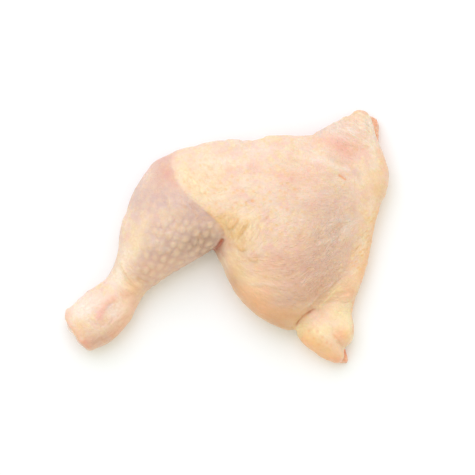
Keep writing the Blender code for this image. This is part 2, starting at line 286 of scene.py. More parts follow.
class Noise:
    """Smooth random values in space, the same on each run."""

    SLOPES = 256
    GAIN = 1.6
    LAYERED = 1.5
    SHIFT = 31.7

    def __init__(self, seed: int) -> None:
        """Draws the random slopes.

        Args:
            seed: The number that sets the draw.
        """
        draw = np.random.default_rng(seed)
        self.order = draw.permutation(self.SLOPES)
        slopes = draw.normal(size=(self.SLOPES, 3))
        self.slopes = slopes / np.linalg.norm(slopes, axis=1, keepdims=True)

    def at(self, points: Array, size: float) -> Array:
        """Reads the noise at points.

        Args:
            points: Points in millimetres, one a row.
            size: The width of one rise and fall in millimetres.

        Returns:
            Values from about -1 to 1.
        """
        scaled = points / size
        cell = np.floor(scaled).astype(int)
        local = scaled - cell
        blend = local**3 * (local * (local * 6 - 15) + 10)
        total = np.zeros(len(points))
        for corner in np.ndindex(2, 2, 2):
            step = np.array(corner)
            spot = (cell + step) % self.SLOPES
            pick = self.order[(spot[:, 0] + self.order[spot[:, 1]]) % self.SLOPES]
            pick = self.order[(pick + spot[:, 2]) % self.SLOPES]
            slope = np.einsum("ij,ij->i", self.slopes[pick], local - step)
            weight = np.prod(np.where(step == 1, blend, 1 - blend), axis=1)
            total += slope * weight
        return total * self.GAIN

    def layered(self, points: Array, size: float, layers: int = 3) -> Array:
        """Adds up noise of ever finer sizes.

        Args:
            points: Points in millimetres, one a row.
            size: The width of the coarsest rise and fall in millimetres.
            layers: How many sizes are added.

        Returns:
            Values from about -1 to 1.
        """
        total = np.zeros(len(points))
        for layer in range(layers):
            total += self.at(points + self.SHIFT * layer, size / 2**layer) / 2**layer
        return total / self.LAYERED


@dataclass(frozen=True)
class Stroke:
    """A mark drawn along a line, such as a crease, a ridge or a streak of colour.

    The width and the points are in pixels. A lip raises one side of a crease: the side to the
    right of the line as it is drawn, as a share of the crease's depth. A skew makes the mark that
    many times wider on the same side.
    """

    points: Path
    width: float
    weight: float = 1.0
    lip: float = 0.0
    fade: float = 0.22
    skew: float = 1.0
    REACH = 4.0
    LIP_AT = 1.7
    LIP_SPREAD = 1.2

    def cover(self, seen: Array) -> Array:
        """Gives the strength of the mark.

        Args:
            seen: The pixels over the points.

        Returns:
            The strength at each point.
        """
        line = smooth_line(self.points)
        reach = self.REACH * self.width * max(self.skew, 1.0)
        near = np.all((seen > line.min(0) - reach) & (seen < line.max(0) + reach), axis=1)
        strength = np.zeros(len(seen))
        if not near.any():
            return strength
        distance, side, place = nearest_on(line, seen[near])
        share = distance / np.where(side > 0, self.width * self.skew, self.width)
        profile = np.exp(-(share**2))
        if self.lip:
            beside = np.exp(-((side * share - self.LIP_AT) ** 2) / self.LIP_SPREAD)
            profile = profile - self.lip * beside
        ends = ease(place, 0.0, self.fade) * ease(1 - place, 0.0, self.fade) if self.fade else 1.0
        strength[near] = self.weight * profile * ends
        return strength


@dataclass(frozen=True)
class Spot:
    """A soft oval mark, turned clockwise as seen from above by some degrees."""

    at: Pixel
    size: Pixel
    weight: float = 1.0
    turn: float = 0.0

    def cover(self, seen: Array) -> Array:
        """Gives the strength of the mark.

        Args:
            seen: The pixels over the points.

        Returns:
            The strength at each point.
        """
        angle = np.radians(self.turn)
        offset = seen - np.array(self.at)
        along = offset[:, 0] * np.cos(angle) + offset[:, 1] * np.sin(angle)
        across = offset[:, 1] * np.cos(angle) - offset[:, 0] * np.sin(angle)
        share = (along / self.size[0]) ** 2 + (across / self.size[1]) ** 2
        return self.weight * np.exp(-share)


@dataclass(frozen=True)
class Area:
    """An area inside a smooth outline, with a soft edge of some pixels.

    Ragged is how far the outline strays, and ragged size how wide its bays are, in pixels.
    """

    outline: Path
    edge: float
    weight: float = 1.0
    ragged: float = 0.0
    ragged_size: float = 7.0

    def cover(self, seen: Array) -> Array:
        """Gives the strength of the mark.

        Args:
            seen: The pixels over the points.

        Returns:
            The strength at each point.
        """
        line = smooth_line(self.outline, closed=True, step=5.0)
        distance, _, _ = nearest_on(line, seen)
        inside = np.zeros(len(seen), bool)
        for start, stop in zip(line[:-1], line[1:]):
            crosses = (start[1] > seen[:, 1]) != (stop[1] > seen[:, 1])
            rise = stop[1] - start[1]
            slope = (stop[0] - start[0]) / (rise if abs(rise) > SMALL else SMALL)
            inside ^= crosses & (seen[:, 0] < start[0] + slope * (seen[:, 1] - start[1]))
        signed = np.where(inside, distance, -distance)
        if self.ragged:
            flat = np.concatenate((seen, np.zeros((len(seen), 1))), axis=1)
            signed += self.ragged * Noise(2).layered(flat, self.ragged_size, 2)
        return self.weight * ease(signed, -self.edge, self.edge)


Mark = Stroke | Spot | Area
Marks = tuple[Mark, ...]


@dataclass(frozen=True)
class Wrinkles:
    """Short furrows scattered over an oval place, all running much the same way.

    Place, size, length, width and bend are in pixels, the depth is in millimetres, and the angles
    are in degrees, clockwise as seen from above. The turn is that of the place and the way that of
    the furrows, from which single ones stray by the spread.
    """

    at: Pixel
    size: Pixel
    turn: float
    way: float
    count: int
    length: float
    width: float
    depth: float
    spread: float = 14.0
    bend: float = 0.0
    shade: float = 0.3
    seed: int = 1
    HALVES = (0.3, 0.7)
    BOWS = (0.2, 0.5)
    STRAY_BOW = 0.12
    WIDTHS = (0.8, 1.3)
    WEIGHTS = (0.4, 1.0)
    LIP = 0.35
    FADE = 0.35

    def strokes(self) -> list[Stroke]:
        """Scatters the furrows over the place.

        Returns:
            A stroke for each furrow.
        """
        draw = np.random.default_rng(self.seed)
        turn = np.radians(self.turn)
        drawn = []
        for _ in range(self.count):
            reach = np.sqrt(draw.random())
            angle = draw.uniform(0.0, 2 * np.pi)
            along = reach * np.cos(angle) * self.size[0]
            across = reach * np.sin(angle) * self.size[1]
            x = self.at[0] + along * np.cos(turn) - across * np.sin(turn)
            y = self.at[1] + along * np.sin(turn) + across * np.cos(turn)
            way = np.radians(self.way + draw.normal(0.0, self.spread))
            half = self.length * draw.uniform(*self.HALVES)
            bow = self.bend * draw.uniform(*self.BOWS) + draw.normal(0.0, self.STRAY_BOW * half)
            run = (half * np.cos(way), half * np.sin(way))
            middle = (x - bow * np.sin(way), y + bow * np.cos(way))
            points = ((x - run[0], y - run[1]), middle, (x + run[0], y + run[1]))
            width = self.width * draw.uniform(*self.WIDTHS)
            weight = draw.uniform(*self.WEIGHTS)
            drawn.append(Stroke(points, width, weight, self.LIP, self.FADE))
        return drawn

    def furrows(self, seen: Array) -> Array:
        """Draws the furrows.

        Args:
            seen: The pixels over the points.

        Returns:
            How deep each point lies in a furrow, from 0 to 1, or below 0 on a furrow's lip.
        """
        valley = np.zeros(len(seen))
        reach = max(self.size) + self.length + Stroke.REACH * self.width
        near = np.flatnonzero(np.all(np.abs(seen - np.array(self.at)) < reach, axis=1))
        deepest = np.zeros(len(near))
        for stroke in self.strokes():
            cover = stroke.cover(seen[near])
            deepest = np.where(np.abs(cover) > np.abs(deepest), cover, deepest)
        valley[near] = deepest
        return valley


@dataclass(frozen=True)
class Flow:
    """The way that the skin's fine wrinkles run about a place.

    The way is in degrees, clockwise as seen from above, the reach in pixels.
    """

    at: Pixel
    reach: float
    way: float
    strength: float = 1.0


def grains(flows: Sequence[Flow], seen: Array) -> Shares:
    """Shares the skin's fine wrinkles out among the ways that they can run.

    Args:
        flows: The ways at some places.
        seen: The pixels over the points.

    Returns:
        For each way, how strongly the wrinkles run so at each point, from 0 to 1.
    """
    total = np.full(len(seen), GRAIN_FLOOR)
    turned = np.zeros((len(seen), 2))
    strength = np.zeros(len(seen))
    for flow in flows:
        gap = np.sum((seen - np.array(flow.at)) ** 2, axis=1) / flow.reach**2
        near = np.exp(-gap)
        double = 2 * np.radians(flow.way)
        turned += near[:, None] * np.array((np.cos(double), np.sin(double)))
        strength += near * flow.strength
        total += near
    way = np.degrees(np.arctan2(turned[:, 1], turned[:, 0])) / 2
    strength /= total
    shares = {}
    for grain in Grain:
        apart = np.abs((way - grain.value + 90.0) % 180.0 - 90.0)
        shares[grain] = strength * np.clip(1.0 - apart / GRAIN_STEP, 0.0, 1.0)
    return shares


def blended(marks: Sequence[Mark], seen: Array) -> Array:
    """Lays marks of one colour over each other.

    Args:
        marks: The marks.
        seen: The pixels over the points.

    Returns:
        The strength of the colour at each point, from 0 to 1.
    """
    clear = np.ones(len(seen))
    for mark in marks:
        clear *= 1.0 - np.clip(mark.cover(seen), 0.0, 1.0)
    return 1.0 - clear


def added(name: str, data: bpy.types.ID) -> bpy.types.Object:
    """Adds an object to the scene.

    Args:
        name: Its name.
        data: Its mesh, lamp or camera.

    Returns:
        The object.
    """
    made = bpy.data.objects.new(name, data)
    bpy.context.scene.collection.objects.link(made)
    return made


def rows(items: object, name: str, width: int = 3, kind: type = np.float32) -> Array:
    """Reads one property of a mesh's points or edges.

    Args:
        items: The points or edges.
        name: Blender's name of the property.
        width: How many numbers it has.
        kind: The kind of its numbers.

    Returns:
        The numbers, one item a row.
    """
    values = np.zeros(len(items) * width, kind)
    items.foreach_get(name, values)
    return values.reshape(-1, width)


@dataclass(frozen=True)
class Region:
    """What lies on one stretch of the skin.

    Each tint has its marks under its own name. Relief raises the top, and edge the outline too, in
    millimetres. Furrows are bundles of small wrinkles, and flows the ways of the finest ones.
    """

    mauve: Marks = ()
    lean: Marks = ()
    rose: Marks = ()
    fat: Marks = ()
    butter: Marks = ()
    tan: Marks = ()
    ochre: Marks = ()
    peach: Marks = ()
    blush: Marks = ()
    veil: Marks = ()
    pearl: Marks = ()
    rim: Marks = ()
    crease: Marks = ()
    speck: Marks = ()
    relief: Marks = ()
    edge: Marks = ()
    furrows: tuple[Wrinkles, ...] = ()
    flows: tuple[Flow, ...] = ()


class Surface:
    """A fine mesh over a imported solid, in millimetres, that relief and masks are added to."""

    FACING_DOWN = -0.6
    PULLS = (0.5, -0.53)

    def __init__(self, node: Node, name: str, voxel: float, kept: float = 1.0) -> None:
        """Copies a solid and remeshes it finely.

        Args:
            node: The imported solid.
            name: The name of the piece that is made.
            voxel: The size of the new mesh's cells in millimetres.
            kept: The share of the cells that stays when the underside is thinned out.
        """
        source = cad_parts[node.value].data.copy()
        welded = bmesh.new()
        welded.from_mesh(source)
        bmesh.ops.remove_doubles(welded, verts=welded.verts, dist=WELD)
        welded.to_mesh(source)
        welded.free()
        coarse = added(name + "_coarse", source)
        remesh = coarse.modifiers.new("cells", "REMESH")
        remesh.mode = "VOXEL"
        remesh.voxel_size = voxel * MM
        graph = bpy.context.evaluated_depsgraph_get()
        self.mesh = bpy.data.meshes.new_from_object(coarse.evaluated_get(graph))
        bpy.data.objects.remove(coarse)
        bpy.data.meshes.remove(source)
        if kept < 1.0:
            self.thin_base(kept)
        self.mesh.name = name
        self.name = name
        self.points = rows(self.mesh.vertices, "co").astype(float) / MM
        self.edges = rows(self.mesh.edges, "vertices", 2, np.int32)
        self.neighbours = np.bincount(self.edges.ravel(), minlength=len(self.points))

    def thin_base(self, kept: float) -> None:
        """Thins out the cells that face down, and leaves all others as they are.

        Args:
            kept: The share of all cells that stays.
        """
        fine = added("fine", self.mesh)
        group = fine.vertex_groups.new(name="base")
        facing = rows(self.mesh.vertex_normals, "vector")[:, 2]
        base = np.flatnonzero(facing < self.FACING_DOWN)
        group.add([int(index) for index in base], 1.0, "REPLACE")
        thin = fine.modifiers.new("thin", "DECIMATE")
        thin.ratio = kept
        thin.vertex_group = group.name
        graph = bpy.context.evaluated_depsgraph_get()
        thinned = bpy.data.meshes.new_from_object(fine.evaluated_get(graph))
        fine_mesh = self.mesh
        self.mesh = thinned
        bpy.data.objects.remove(fine)
        bpy.data.meshes.remove(fine_mesh)

    def around(self, values: Array) -> Array:
        """Gives each point the mean value of its neighbours.

        Args:
            values: One number for each point.

        Returns:
            The mean at each point.
        """
        first, second = self.edges[:, 0], self.edges[:, 1]
        count = len(self.points)
        total = np.bincount(first, values[second], count)
        total += np.bincount(second, values[first], count)
        return total / self.neighbours

    def relax(self, passes: int) -> None:
        """Smooths the facets out without shrinking the form.

        Args:
            passes: How often the mesh is smoothed and swelled back.
        """
        for _ in range(passes):
            for pull in self.PULLS:
                moved = [self.around(self.points[:, axis]) for axis in range(3)]
                self.points += pull * (np.stack(moved, axis=1) - self.points)

    def normals(self) -> Array:
        """Gives the direction in which the surface faces at each point."""
        self.write()
        return rows(self.mesh.vertex_normals, "vector").astype(float)

    def push(self, heights: Array) -> None:
        """Moves each point along its normal by a height in millimetres."""
        self.points += self.normals() * heights[:, None]

    def write(self) -> None:
        """Puts the points back into the mesh."""
        self.mesh.vertices.foreach_set("co", (self.points * MM).astype(np.float32).ravel())
        self.mesh.update()

    def store(self, name: str, values: Array) -> None:
        """Keeps a mask on the mesh for the material.

        Args:
            name: The name that the material reads.
            values: One number for each point.
        """
        layer = self.mesh.attributes.new(name, "FLOAT", "POINT")
        layer.data.foreach_set("value", values.astype(np.float32))

    def piece(self, node: Node, slot: Slot, material: Material) -> bpy.types.Object:
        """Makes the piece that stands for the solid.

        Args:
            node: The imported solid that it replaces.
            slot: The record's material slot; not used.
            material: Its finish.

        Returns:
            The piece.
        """
        self.write()
        self.mesh.materials.clear()
        self.mesh.materials.append(material)
        self.mesh.shade_smooth()
        shown = added(self.name, self.mesh)
        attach(shown, Body.ROOT.value)
        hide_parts(node.value)
        LOG.info("%s: %d points over %s", self.name, len(self.points), node.value)
        return shown


@dataclass(frozen=True)
class Follicles:
    """Bumps in slanting rows, as feathers leave them.

    Steps, jitter, length, width, border, margin and snap are in pixels of the plan, the height is in
    millimetres. Shade is how strongly the bumps are painted. Packing is the least spacing of the
    bumps on the sides, as a share of their usual step, and crowding the part of it that holds on top.
    """

    area: Area
    row_step: Pixel
    next_row: Pixel
    jitter: float
    length: float
    width: float
    height: float
    lean_over: Pixel
    seed: int
    unevenness: float = 0.35
    shade: float = 0.0
    cell: float = 0.25
    border: float = 5.0
    margin: float = 8.0
    snap: float = 2.0
    packing: float = 0.86
    crowding: float = 0.55
    swelling: float = 0.25
    most_swelling: float = 1.5
    top_facing: float = 0.25
    side_facing: float = 0.35
    SPREAD_COVER = 0.02
    SHAPED_COVER = 0.01

    def lattice(self, draw: np.random.Generator) -> Array:
        """Lays out the rows over the area.

        Args:
            draw: The source of the places' jitter.

        Returns:
            The pixels that follicles stand under, one a row.
        """
        outline = np.array(self.area.outline)
        low, high = outline.min(0) - self.margin, outline.max(0) + self.margin
        basis = np.array((self.row_step, self.next_row))
        reach = int(np.ceil(np.linalg.norm(high - low) / np.linalg.norm(basis, axis=1).min()))
        steps = np.array([(i, j) for i in range(-reach, reach) for j in range(-reach, reach)])
        places = (low + high) / 2 + steps @ basis
        places += draw.normal(0.0, self.jitter, places.shape)
        places = places[np.all((places > low) & (places < high), axis=1)]
        return places[self.area.cover(places) > self.SPREAD_COVER]

    def centres(self, surface: Surface, seen: Array, facing: Array) -> Array:
        """Spreads the follicles: in rows on top, and by their spacing alone on the sides.

        Args:
            surface: The skin.
            seen: The pixels over its points.
            facing: How far each point faces up.

        Returns:
            The indices of the points that follicles stand on.
        """
        draw = np.random.default_rng(self.seed)
        places = self.lattice(draw)
        top = np.flatnonzero(facing > self.top_facing)
        tree = KDTree(len(top))
        for index in top:
            tree.insert((seen[index, 0], seen[index, 1], 0.0), int(index))
        tree.balance()
        chosen: list[int] = []
        taken: dict[tuple[int, ...], list[int]] = {}
        steps = np.array((self.row_step, self.next_row))
        spacing = self.packing * np.linalg.norm(steps, axis=1).min() * PLAN.pixel
        for place in places:
            _, index, gap = tree.find((place[0], place[1], 0.0))
            if gap < self.snap:
                self.take(index, surface.points, spacing, taken, chosen, self.crowding)
        sides = (facing <= self.side_facing) & (self.area.cover(seen) > self.SPREAD_COVER)
        for index in draw.permutation(np.flatnonzero(sides)):
            self.take(int(index), surface.points, spacing, taken, chosen, 1.0)
        return np.array(chosen)

    @staticmethod
    def take(
        index: int,
        points: Array,
        spacing: float,
        taken: dict[tuple[int, ...], list[int]],
        chosen: list[int],
        share: float,
    ) -> None:
        """Keeps a follicle where none stands too near.

        Args:
            index: The point that it would stand on.
            points: All points of the skin.
            spacing: The usual distance between follicles in millimetres.
            taken: The follicles kept so far, by the cell of space that they stand in.
            chosen: The follicles kept so far, in order.
            share: The part of the spacing that has to be free.
        """
        place = points[index]
        cell = tuple(int(c) for c in np.floor(place / spacing))
        for step in np.ndindex(3, 3, 3):
            for other in taken.get(tuple(c + s - 1 for c, s in zip(cell, step)), ()):
                if np.linalg.norm(points[other] - place) < share * spacing:
                    return
        taken.setdefault(cell, []).append(index)
        chosen.append(index)

    def bumps(self, surface: Surface, seen: Array, facing: Array) -> Array:
        """Shapes one bump round each follicle.

        Args:
            surface: The skin.
            seen: The pixels over its points.
            facing: How far each point faces up.

        Returns:
            Each point's height on the nearest bump, from 0 to 1.
        """
        centres = self.centres(surface, seen, facing)
        draw = np.random.default_rng(self.seed + 1)
        strength = 1.0 - self.unevenness * draw.random(len(centres))
        stray = draw.normal(size=len(centres)).clip(-self.most_swelling, self.most_swelling)
        swell = 1.0 + self.swelling * stray
        tree = KDTree(len(centres))
        for order, index in enumerate(centres):
            tree.insert(surface.points[index], order)
        tree.balance()
        way = np.array((self.lean_over[0], -self.lean_over[1], 0.0))
        way /= np.linalg.norm(way)
        hill = np.zeros(len(seen))
        cover = self.area.cover(seen)
        for index in np.flatnonzero(cover > self.SHAPED_COVER):
            (place, order, distance), (_, _, next_distance) = tree.find_n(surface.points[index], 2)
            offset = surface.points[index] - np.array(place)
            along = offset @ way
            across = max(distance**2 - along**2, 0.0)
            long = (along / (self.length * PLAN.pixel)) ** 2
            wide = across / (self.width * PLAN.pixel) ** 2
            dome = np.exp(-(long + wide) / swell[order])
            border = min((next_distance - distance) / (self.border * PLAN.pixel), 1.0)
            hill[index] = strength[order] * (dome + self.cell * border) / (1.0 + self.cell)
        return hill * cover


class Graph:
    """A node tree, with short ways to add nodes and join them.

    A Mix node has several sockets of each name, so its colour sockets are named here by number.
    """

    MIX_SHARE = 0
    MIX_FIRST = 6
    MIX_SECOND = 7
    MIX_RESULT = 2

    def __init__(self, tree: bpy.types.NodeTree) -> None:
        """Takes the tree that is built."""
        self.tree = tree

    def node(
        self, kind: str, settings: dict | None = None, inputs: dict | None = None
    ) -> bpy.types.Node:
        """Adds a node.

        Args:
            kind: Blender's name of the node.
            settings: Values of its properties.
            inputs: Values or sockets for its inputs, by name or number.

        Returns:
            The node.
        """
        made = self.tree.nodes.new(kind)
        for name, value in (settings or {}).items():
            setattr(made, name, value)
        for name, value in (inputs or {}).items():
            self.feed(made.inputs[name], value)
        return made

    def feed(self, socket: Socket, value: object) -> None:
        """Joins a socket to an input, or sets the input's own value.

        Args:
            socket: The input.
            value: A socket, or a number, vector or colour.
        """
        if isinstance(value, Socket):
            self.tree.links.new(value, socket)
        else:
            socket.default_value = value

    def maths(self, operation: str, first: object, second: object = 0.0) -> Socket:
        """Works out one sum of two numbers and gives its result."""
        made = self.node("ShaderNodeMath", {"operation": operation}, {0: first, 1: second})
        return made.outputs[0]

    def graded(
        self, value: object, low: object, high: object, to_low: float, to_high: float
    ) -> Socket:
        """Maps a range of a value smoothly onto another range.

        Args:
            value: The number or socket that is mapped.
            low: Where the range starts.
            high: Where it ends.
            to_low: The result at its start.
            to_high: The result at its end.

        Returns:
            The socket of the result.
        """
        inputs = {
            "Value": value, "From Min": low, "From Max": high, "To Min": to_low, "To Max": to_high,
        }
        made = self.node("ShaderNodeMapRange", {"interpolation_type": "SMOOTHSTEP"}, inputs)
        return made.outputs["Result"]

    def mixed(self, factor: object, first: object, second: object) -> Socket:
        """Mixes two colours.

        Args:
            factor: The share of the second colour.
            first: The first colour.
            second: The second colour.

        Returns:
            The socket of the result.
        """
        inputs = {self.MIX_SHARE: factor, self.MIX_FIRST: first, self.MIX_SECOND: second}
        made = self.node("ShaderNodeMix", {"data_type": "RGBA"}, inputs)
        return made.outputs[self.MIX_RESULT]

    def mask(self, name: str) -> Socket:
        """Reads a mask that is kept on the mesh."""
        made = self.node("ShaderNodeAttribute", {"attribute_name": name})
        return made.outputs["Fac"]

    def place(self) -> Socket:
        """Gives the place on the part in millimetres."""
        return self.scaled(self.node("ShaderNodeTexCoord").outputs["Object"], 1.0 / MM)

    def scaled(self, vector: object, scale: object) -> Socket:
        """Multiplies a vector by a number and gives the result."""
        made = self.node("ShaderNodeVectorMath", {"operation": "SCALE"}, {0: vector, "Scale": scale})
        return made.outputs[0]

    def vector_maths(self, operation: str, first: object, second: object) -> Socket:
        """Works out one sum of two vectors and gives its result."""
        made = self.node("ShaderNodeVectorMath", {"operation": operation}, {0: first, 1: second})
        return made.outputs[0]

    def axes(self, vector: object) -> tuple[Socket, ...]:
        """Gives the three numbers of a vector."""
        return tuple(self.node("ShaderNodeSeparateXYZ", inputs={0: vector}).outputs)

    def laid(self, under: object, over: Colour, mask: object, share: object) -> Socket:
        """Lays a colour over another.

        Args:
            under: The colour underneath.
            over: The colour that is laid on, in screen values.
            mask: Where it lies.
            share: How strongly it covers there.

        Returns:
            The socket of the result.
        """
        return self.mixed(self.maths("MULTIPLY", mask, share), under, linear(over))

    def emboss(self, shader: bpy.types.Node, height: Socket) -> None:
        """Raises a surface's finest relief by a height in millimetres."""
        bump = self.node("ShaderNodeBump", inputs={"Height": height, "Distance": 1.0 * MM})
        self.feed(shader.inputs["Normal"], bump.outputs[0])


def linear(colour: Colour, alpha: float = 1.0) -> tuple[float, float, float, float]:
    """Turns a colour of screen values from 0 to 255 into the shader's own scale.

    Args:
        colour: Red, green and blue.
        alpha: The fourth value that is added.

    Returns:
        The colour for a shader's socket.
    """
    share = np.array(colour) / 255.0
    low = share / 12.92
    high = ((share + 0.055) / 1.055) ** 2.4
    return (*(float(v) for v in np.where(share <= 0.04045, low, high)), alpha)


class Effect(Enum):
    """The surface effects that the finishes share."""

    MOTTLE = "mottle"
    WRINKLES = "wrinkles"
    LACE = "lace"
    DASHES = "dashes"


@dataclass(frozen=True)
class Mottle:
    """Soft uneven patches: their size in millimetres, and the noise's detail and cut."""

    EFFECT = Effect.MOTTLE
    size: float = 5.0
    detail: float = 3.0
    low: float = 0.35
    high: float = 0.65


@dataclass(frozen=True)
class Lines:
    """Fine lines: their turn in radians, their pitch in millimetres and how far they are drawn out."""

    EFFECT = Effect.WRINKLES
    turn: float = 0.0
    pitch: float = 1.2
    stretch: float = 5.0


@dataclass(frozen=True)
class Net:
    """A net of furrows: the size of its cells in millimetres and the share that is furrow."""

    EFFECT = Effect.LACE
    size: float = 1.5
    width: float = 0.25


@dataclass(frozen=True)
class Dashes:
    """Short dashes: their turn in radians, and their measures in millimetres."""

    EFFECT = Effect.DASHES
    turn: float = 0.0
    pitch: float = 3.4
    length: float = 1.3
    width: float = 0.4


Numbers = Mottle | Lines | Net | Dashes


class Effects:
    """Shader node groups that more than one finish uses, each built once."""

    MIDDLE = 0.5
    LINE_DETAIL = 1.5
    LINE_WAVER = 0.35
    LINE_WIDTH = 0.16
    NET_WAVER = 1.1
    DASH_STRAY = 0.8
    DASH_EDGE = 1.6

    def __init__(self) -> None:
        """Builds the groups."""
        self.groups = {
            Effect.MOTTLE: self.mottle(),
            Effect.WRINKLES: self.wrinkles(),
            Effect.LACE: self.lace(),
            Effect.DASHES: self.dashes(),
        }

    @staticmethod
    def start(numbers: Numbers) -> tuple[Graph, bpy.types.Node]:
        """Starts a group with a place and some numbers going in.

        Args:
            numbers: The numbers at their first values.

        Returns:
            Its graph and the node that its inputs come from.
        """
        tree = bpy.data.node_groups.new(numbers.EFFECT.value, "ShaderNodeTree")
        tree.interface.new_socket(name="Place", in_out="INPUT", socket_type="NodeSocketVector")
        for name, value in asdict(numbers).items():
            settings = {"name": name.capitalize(), "in_out": "INPUT"}
            socket = tree.interface.new_socket(socket_type="NodeSocketFloat", **settings)
            socket.default_value = value
        tree.interface.new_socket(name="Value", in_out="OUTPUT", socket_type="NodeSocketFloat")
        graph = Graph(tree)
        return graph, graph.node("NodeGroupInput")

    @staticmethod
    def close(graph: Graph, value: Socket) -> bpy.types.NodeTree:
        """Ends a group with the value that it puts out."""
        graph.node("NodeGroupOutput", inputs={"Value": value})
        return graph.tree

    @staticmethod
    def turned(graph: Graph, given: bpy.types.Node) -> Socket:
        """Turns a group's place about the upright axis and gives the result."""
        inputs = {"Vector": given.outputs["Place"], "Angle": given.outputs["Turn"]}
        return graph.node("ShaderNodeVectorRotate", {"rotation_type": "Z_AXIS"}, inputs).outputs[0]

    def mottle(self) -> bpy.types.NodeTree:
        """Builds soft uneven patches.

        Returns:
            The group, which puts out a mask from 0 to 1.
        """
        graph, given = self.start(Mottle())
        scale = graph.maths("DIVIDE", 1.0, given.outputs["Size"])
        inputs = {"Vector": given.outputs["Place"], "Scale": scale, "Detail": given.outputs["Detail"]}
        cloud = graph.node("ShaderNodeTexNoise", inputs=inputs)
        low, high = given.outputs["Low"], given.outputs["High"]
        return self.close(graph, graph.graded(cloud.outputs[0], low, high, 0.0, 1.0))

    def wrinkles(self) -> bpy.types.NodeTree:
        """Builds fine lines that run one way over the plan.

        Returns:
            The group, which puts out a height from 0 to 1.
        """
        graph, given = self.start(Lines())
        x, y, z = graph.axes(self.turned(graph, given))
        along = graph.maths("DIVIDE", x, given.outputs["Stretch"])
        drawn = graph.node("ShaderNodeCombineXYZ", inputs={0: along, 1: y, 2: z})
        inputs = {
            "Vector": drawn.outputs[0],
            "Scale": graph.maths("DIVIDE", 1.0, given.outputs["Pitch"]),
            "Detail": self.LINE_DETAIL,
            "Distortion": self.LINE_WAVER,
        }
        lines = graph.node("ShaderNodeTexNoise", inputs=inputs)
        folded = graph.maths("ABSOLUTE", graph.maths("SUBTRACT", lines.outputs[0], self.MIDDLE))
        return self.close(graph, graph.graded(folded, 0.0, self.LINE_WIDTH, 0.0, 1.0))

    def lace(self) -> bpy.types.NodeTree:
        """Builds a net of fine furrows round small cells.

        Returns:
            The group, which puts out a height from 0 to 1.
        """
        graph, given = self.start(Net())
        place = given.outputs["Place"]
        scale = graph.maths("DIVIDE", 1.0, given.outputs["Size"])
        bend = graph.node("ShaderNodeTexNoise", inputs={"Vector": place, "Scale": scale})
        moved = graph.vector_maths("ADD", place, graph.scaled(bend.outputs[1], self.NET_WAVER))
        inputs = {"Vector": moved, "Scale": scale}
        cells = graph.node("ShaderNodeTexVoronoi", {"feature": "DISTANCE_TO_EDGE"}, inputs)
        net = graph.graded(cells.outputs["Distance"], 0.0, given.outputs["Width"], 0.0, 1.0)
        return self.close(graph, net)

    def dashes(self) -> bpy.types.NodeTree:
        """Builds short dashes in rough rows over the plan.

        Returns:
            The group, which puts out a mask from 0 to 1.
        """
        graph, given = self.start(Dashes())
        pitch = given.outputs["Pitch"]
        small = graph.scaled(self.turned(graph, given), graph.maths("DIVIDE", 1.0, pitch))
        inputs = {"Vector": small, "Scale": 1.0, "Randomness": self.DASH_STRAY}
        cells = graph.node("ShaderNodeTexVoronoi", {"voronoi_dimensions": "2D"}, inputs)
        along, across, _ = graph.axes(graph.vector_maths("SUBTRACT", small, cells.outputs["Position"]))
        squares = []
        for offset, name in ((along, "Length"), (across, "Width")):
            share = graph.maths("DIVIDE", given.outputs[name], pitch)
            squares.append(graph.maths("POWER", graph.maths("DIVIDE", offset, share), 2.0))
        distance = graph.maths("ADD", squares[0], squares[1])
        return self.close(graph, graph.graded(distance, 0.0, self.DASH_EDGE, 1.0, 0.0))

    def use(self, graph: Graph, place: Socket, numbers: Numbers) -> Socket:
        """Places an effect in a material.

        Args:
            graph: The material's graph.
            place: The place on the part.
            numbers: The effect's numbers.

        Returns:
            The value that it puts out.
        """
        placed = graph.node("ShaderNodeGroup", {"node_tree": self.groups[numbers.EFFECT]})
        graph.feed(placed.inputs["Place"], place)
        for name, value in asdict(numbers).items():
            graph.feed(placed.inputs[name.capitalize()], value)
        return placed.outputs["Value"]


@dataclass(frozen=True)
class Depth:
    """How far light goes into a surface: its share, its reach in millimetres and its tinge."""

    weight: float
    reach: float
    tinge: Colour

    def give(self, shader: bpy.types.Node) -> None:
        """Sets the shader's own sockets."""
        shader.inputs["Subsurface Weight"].default_value = self.weight
        shader.inputs["Subsurface Radius"].default_value = self.tinge
        shader.inputs["Subsurface Scale"].default_value = self.reach * MM


def fresh_material(name: str) -> tuple[Material, Graph, bpy.types.Node]:
    """Starts a material.

    Args:
        name: Its name.

    Returns:
        The material, its graph and its shader.
    """
    made = bpy.data.materials.new(name)
    made.use_nodes = True
    return made, Graph(made.node_tree), made.node_tree.nodes["Principled BSDF"]


@dataclass(frozen=True)
class Pores:
    """A field of pores: its places, its dashes' turn in degrees and measures in millimetres."""

    mask: str
    places: Marks
    turn: float
    pitch: float
    length: float
    width: float

    @property
    def dashes(self) -> Dashes:
        """Gives the numbers for the effect."""
        return Dashes(float(np.radians(self.turn)), self.pitch, self.length, self.width)


PORES = (
    Pores(
        "flap_pores",
        (
            Stroke(((376, 206), (370, 228), (364, 250), (358, 276)), 8.0, 0.5, fade=0.12),
            Spot((355, 262), (9, 16), 0.3, 15),
        ),
        turn=-24.0, pitch=3.6, length=1.3, width=0.75,
    ),
    Pores(
        "fat_pores",
        (
            Spot((196, 174), (18, 20), 0.32, -20),
            Spot((212, 198), (16, 10), 0.3, 40),
            Spot((224, 160), (22, 10), 0.2),
        ),
        turn=50.0, pitch=4.4, length=1.2, width=0.8,
    ),
    Pores(
        "thigh_pores",
        (
            Spot((232, 186), (28, 26), 0.36, -40),
            Spot((262, 140), (22, 6), 0.36),
            Spot((262, 204), (34, 22), 0.34, 15),
            Spot((290, 190), (30, 24), 0.3),
            Spot((284, 225), (24, 12), 0.3),
        ),
        turn=20.0, pitch=5.6, length=1.2, width=0.95,
    ),
)


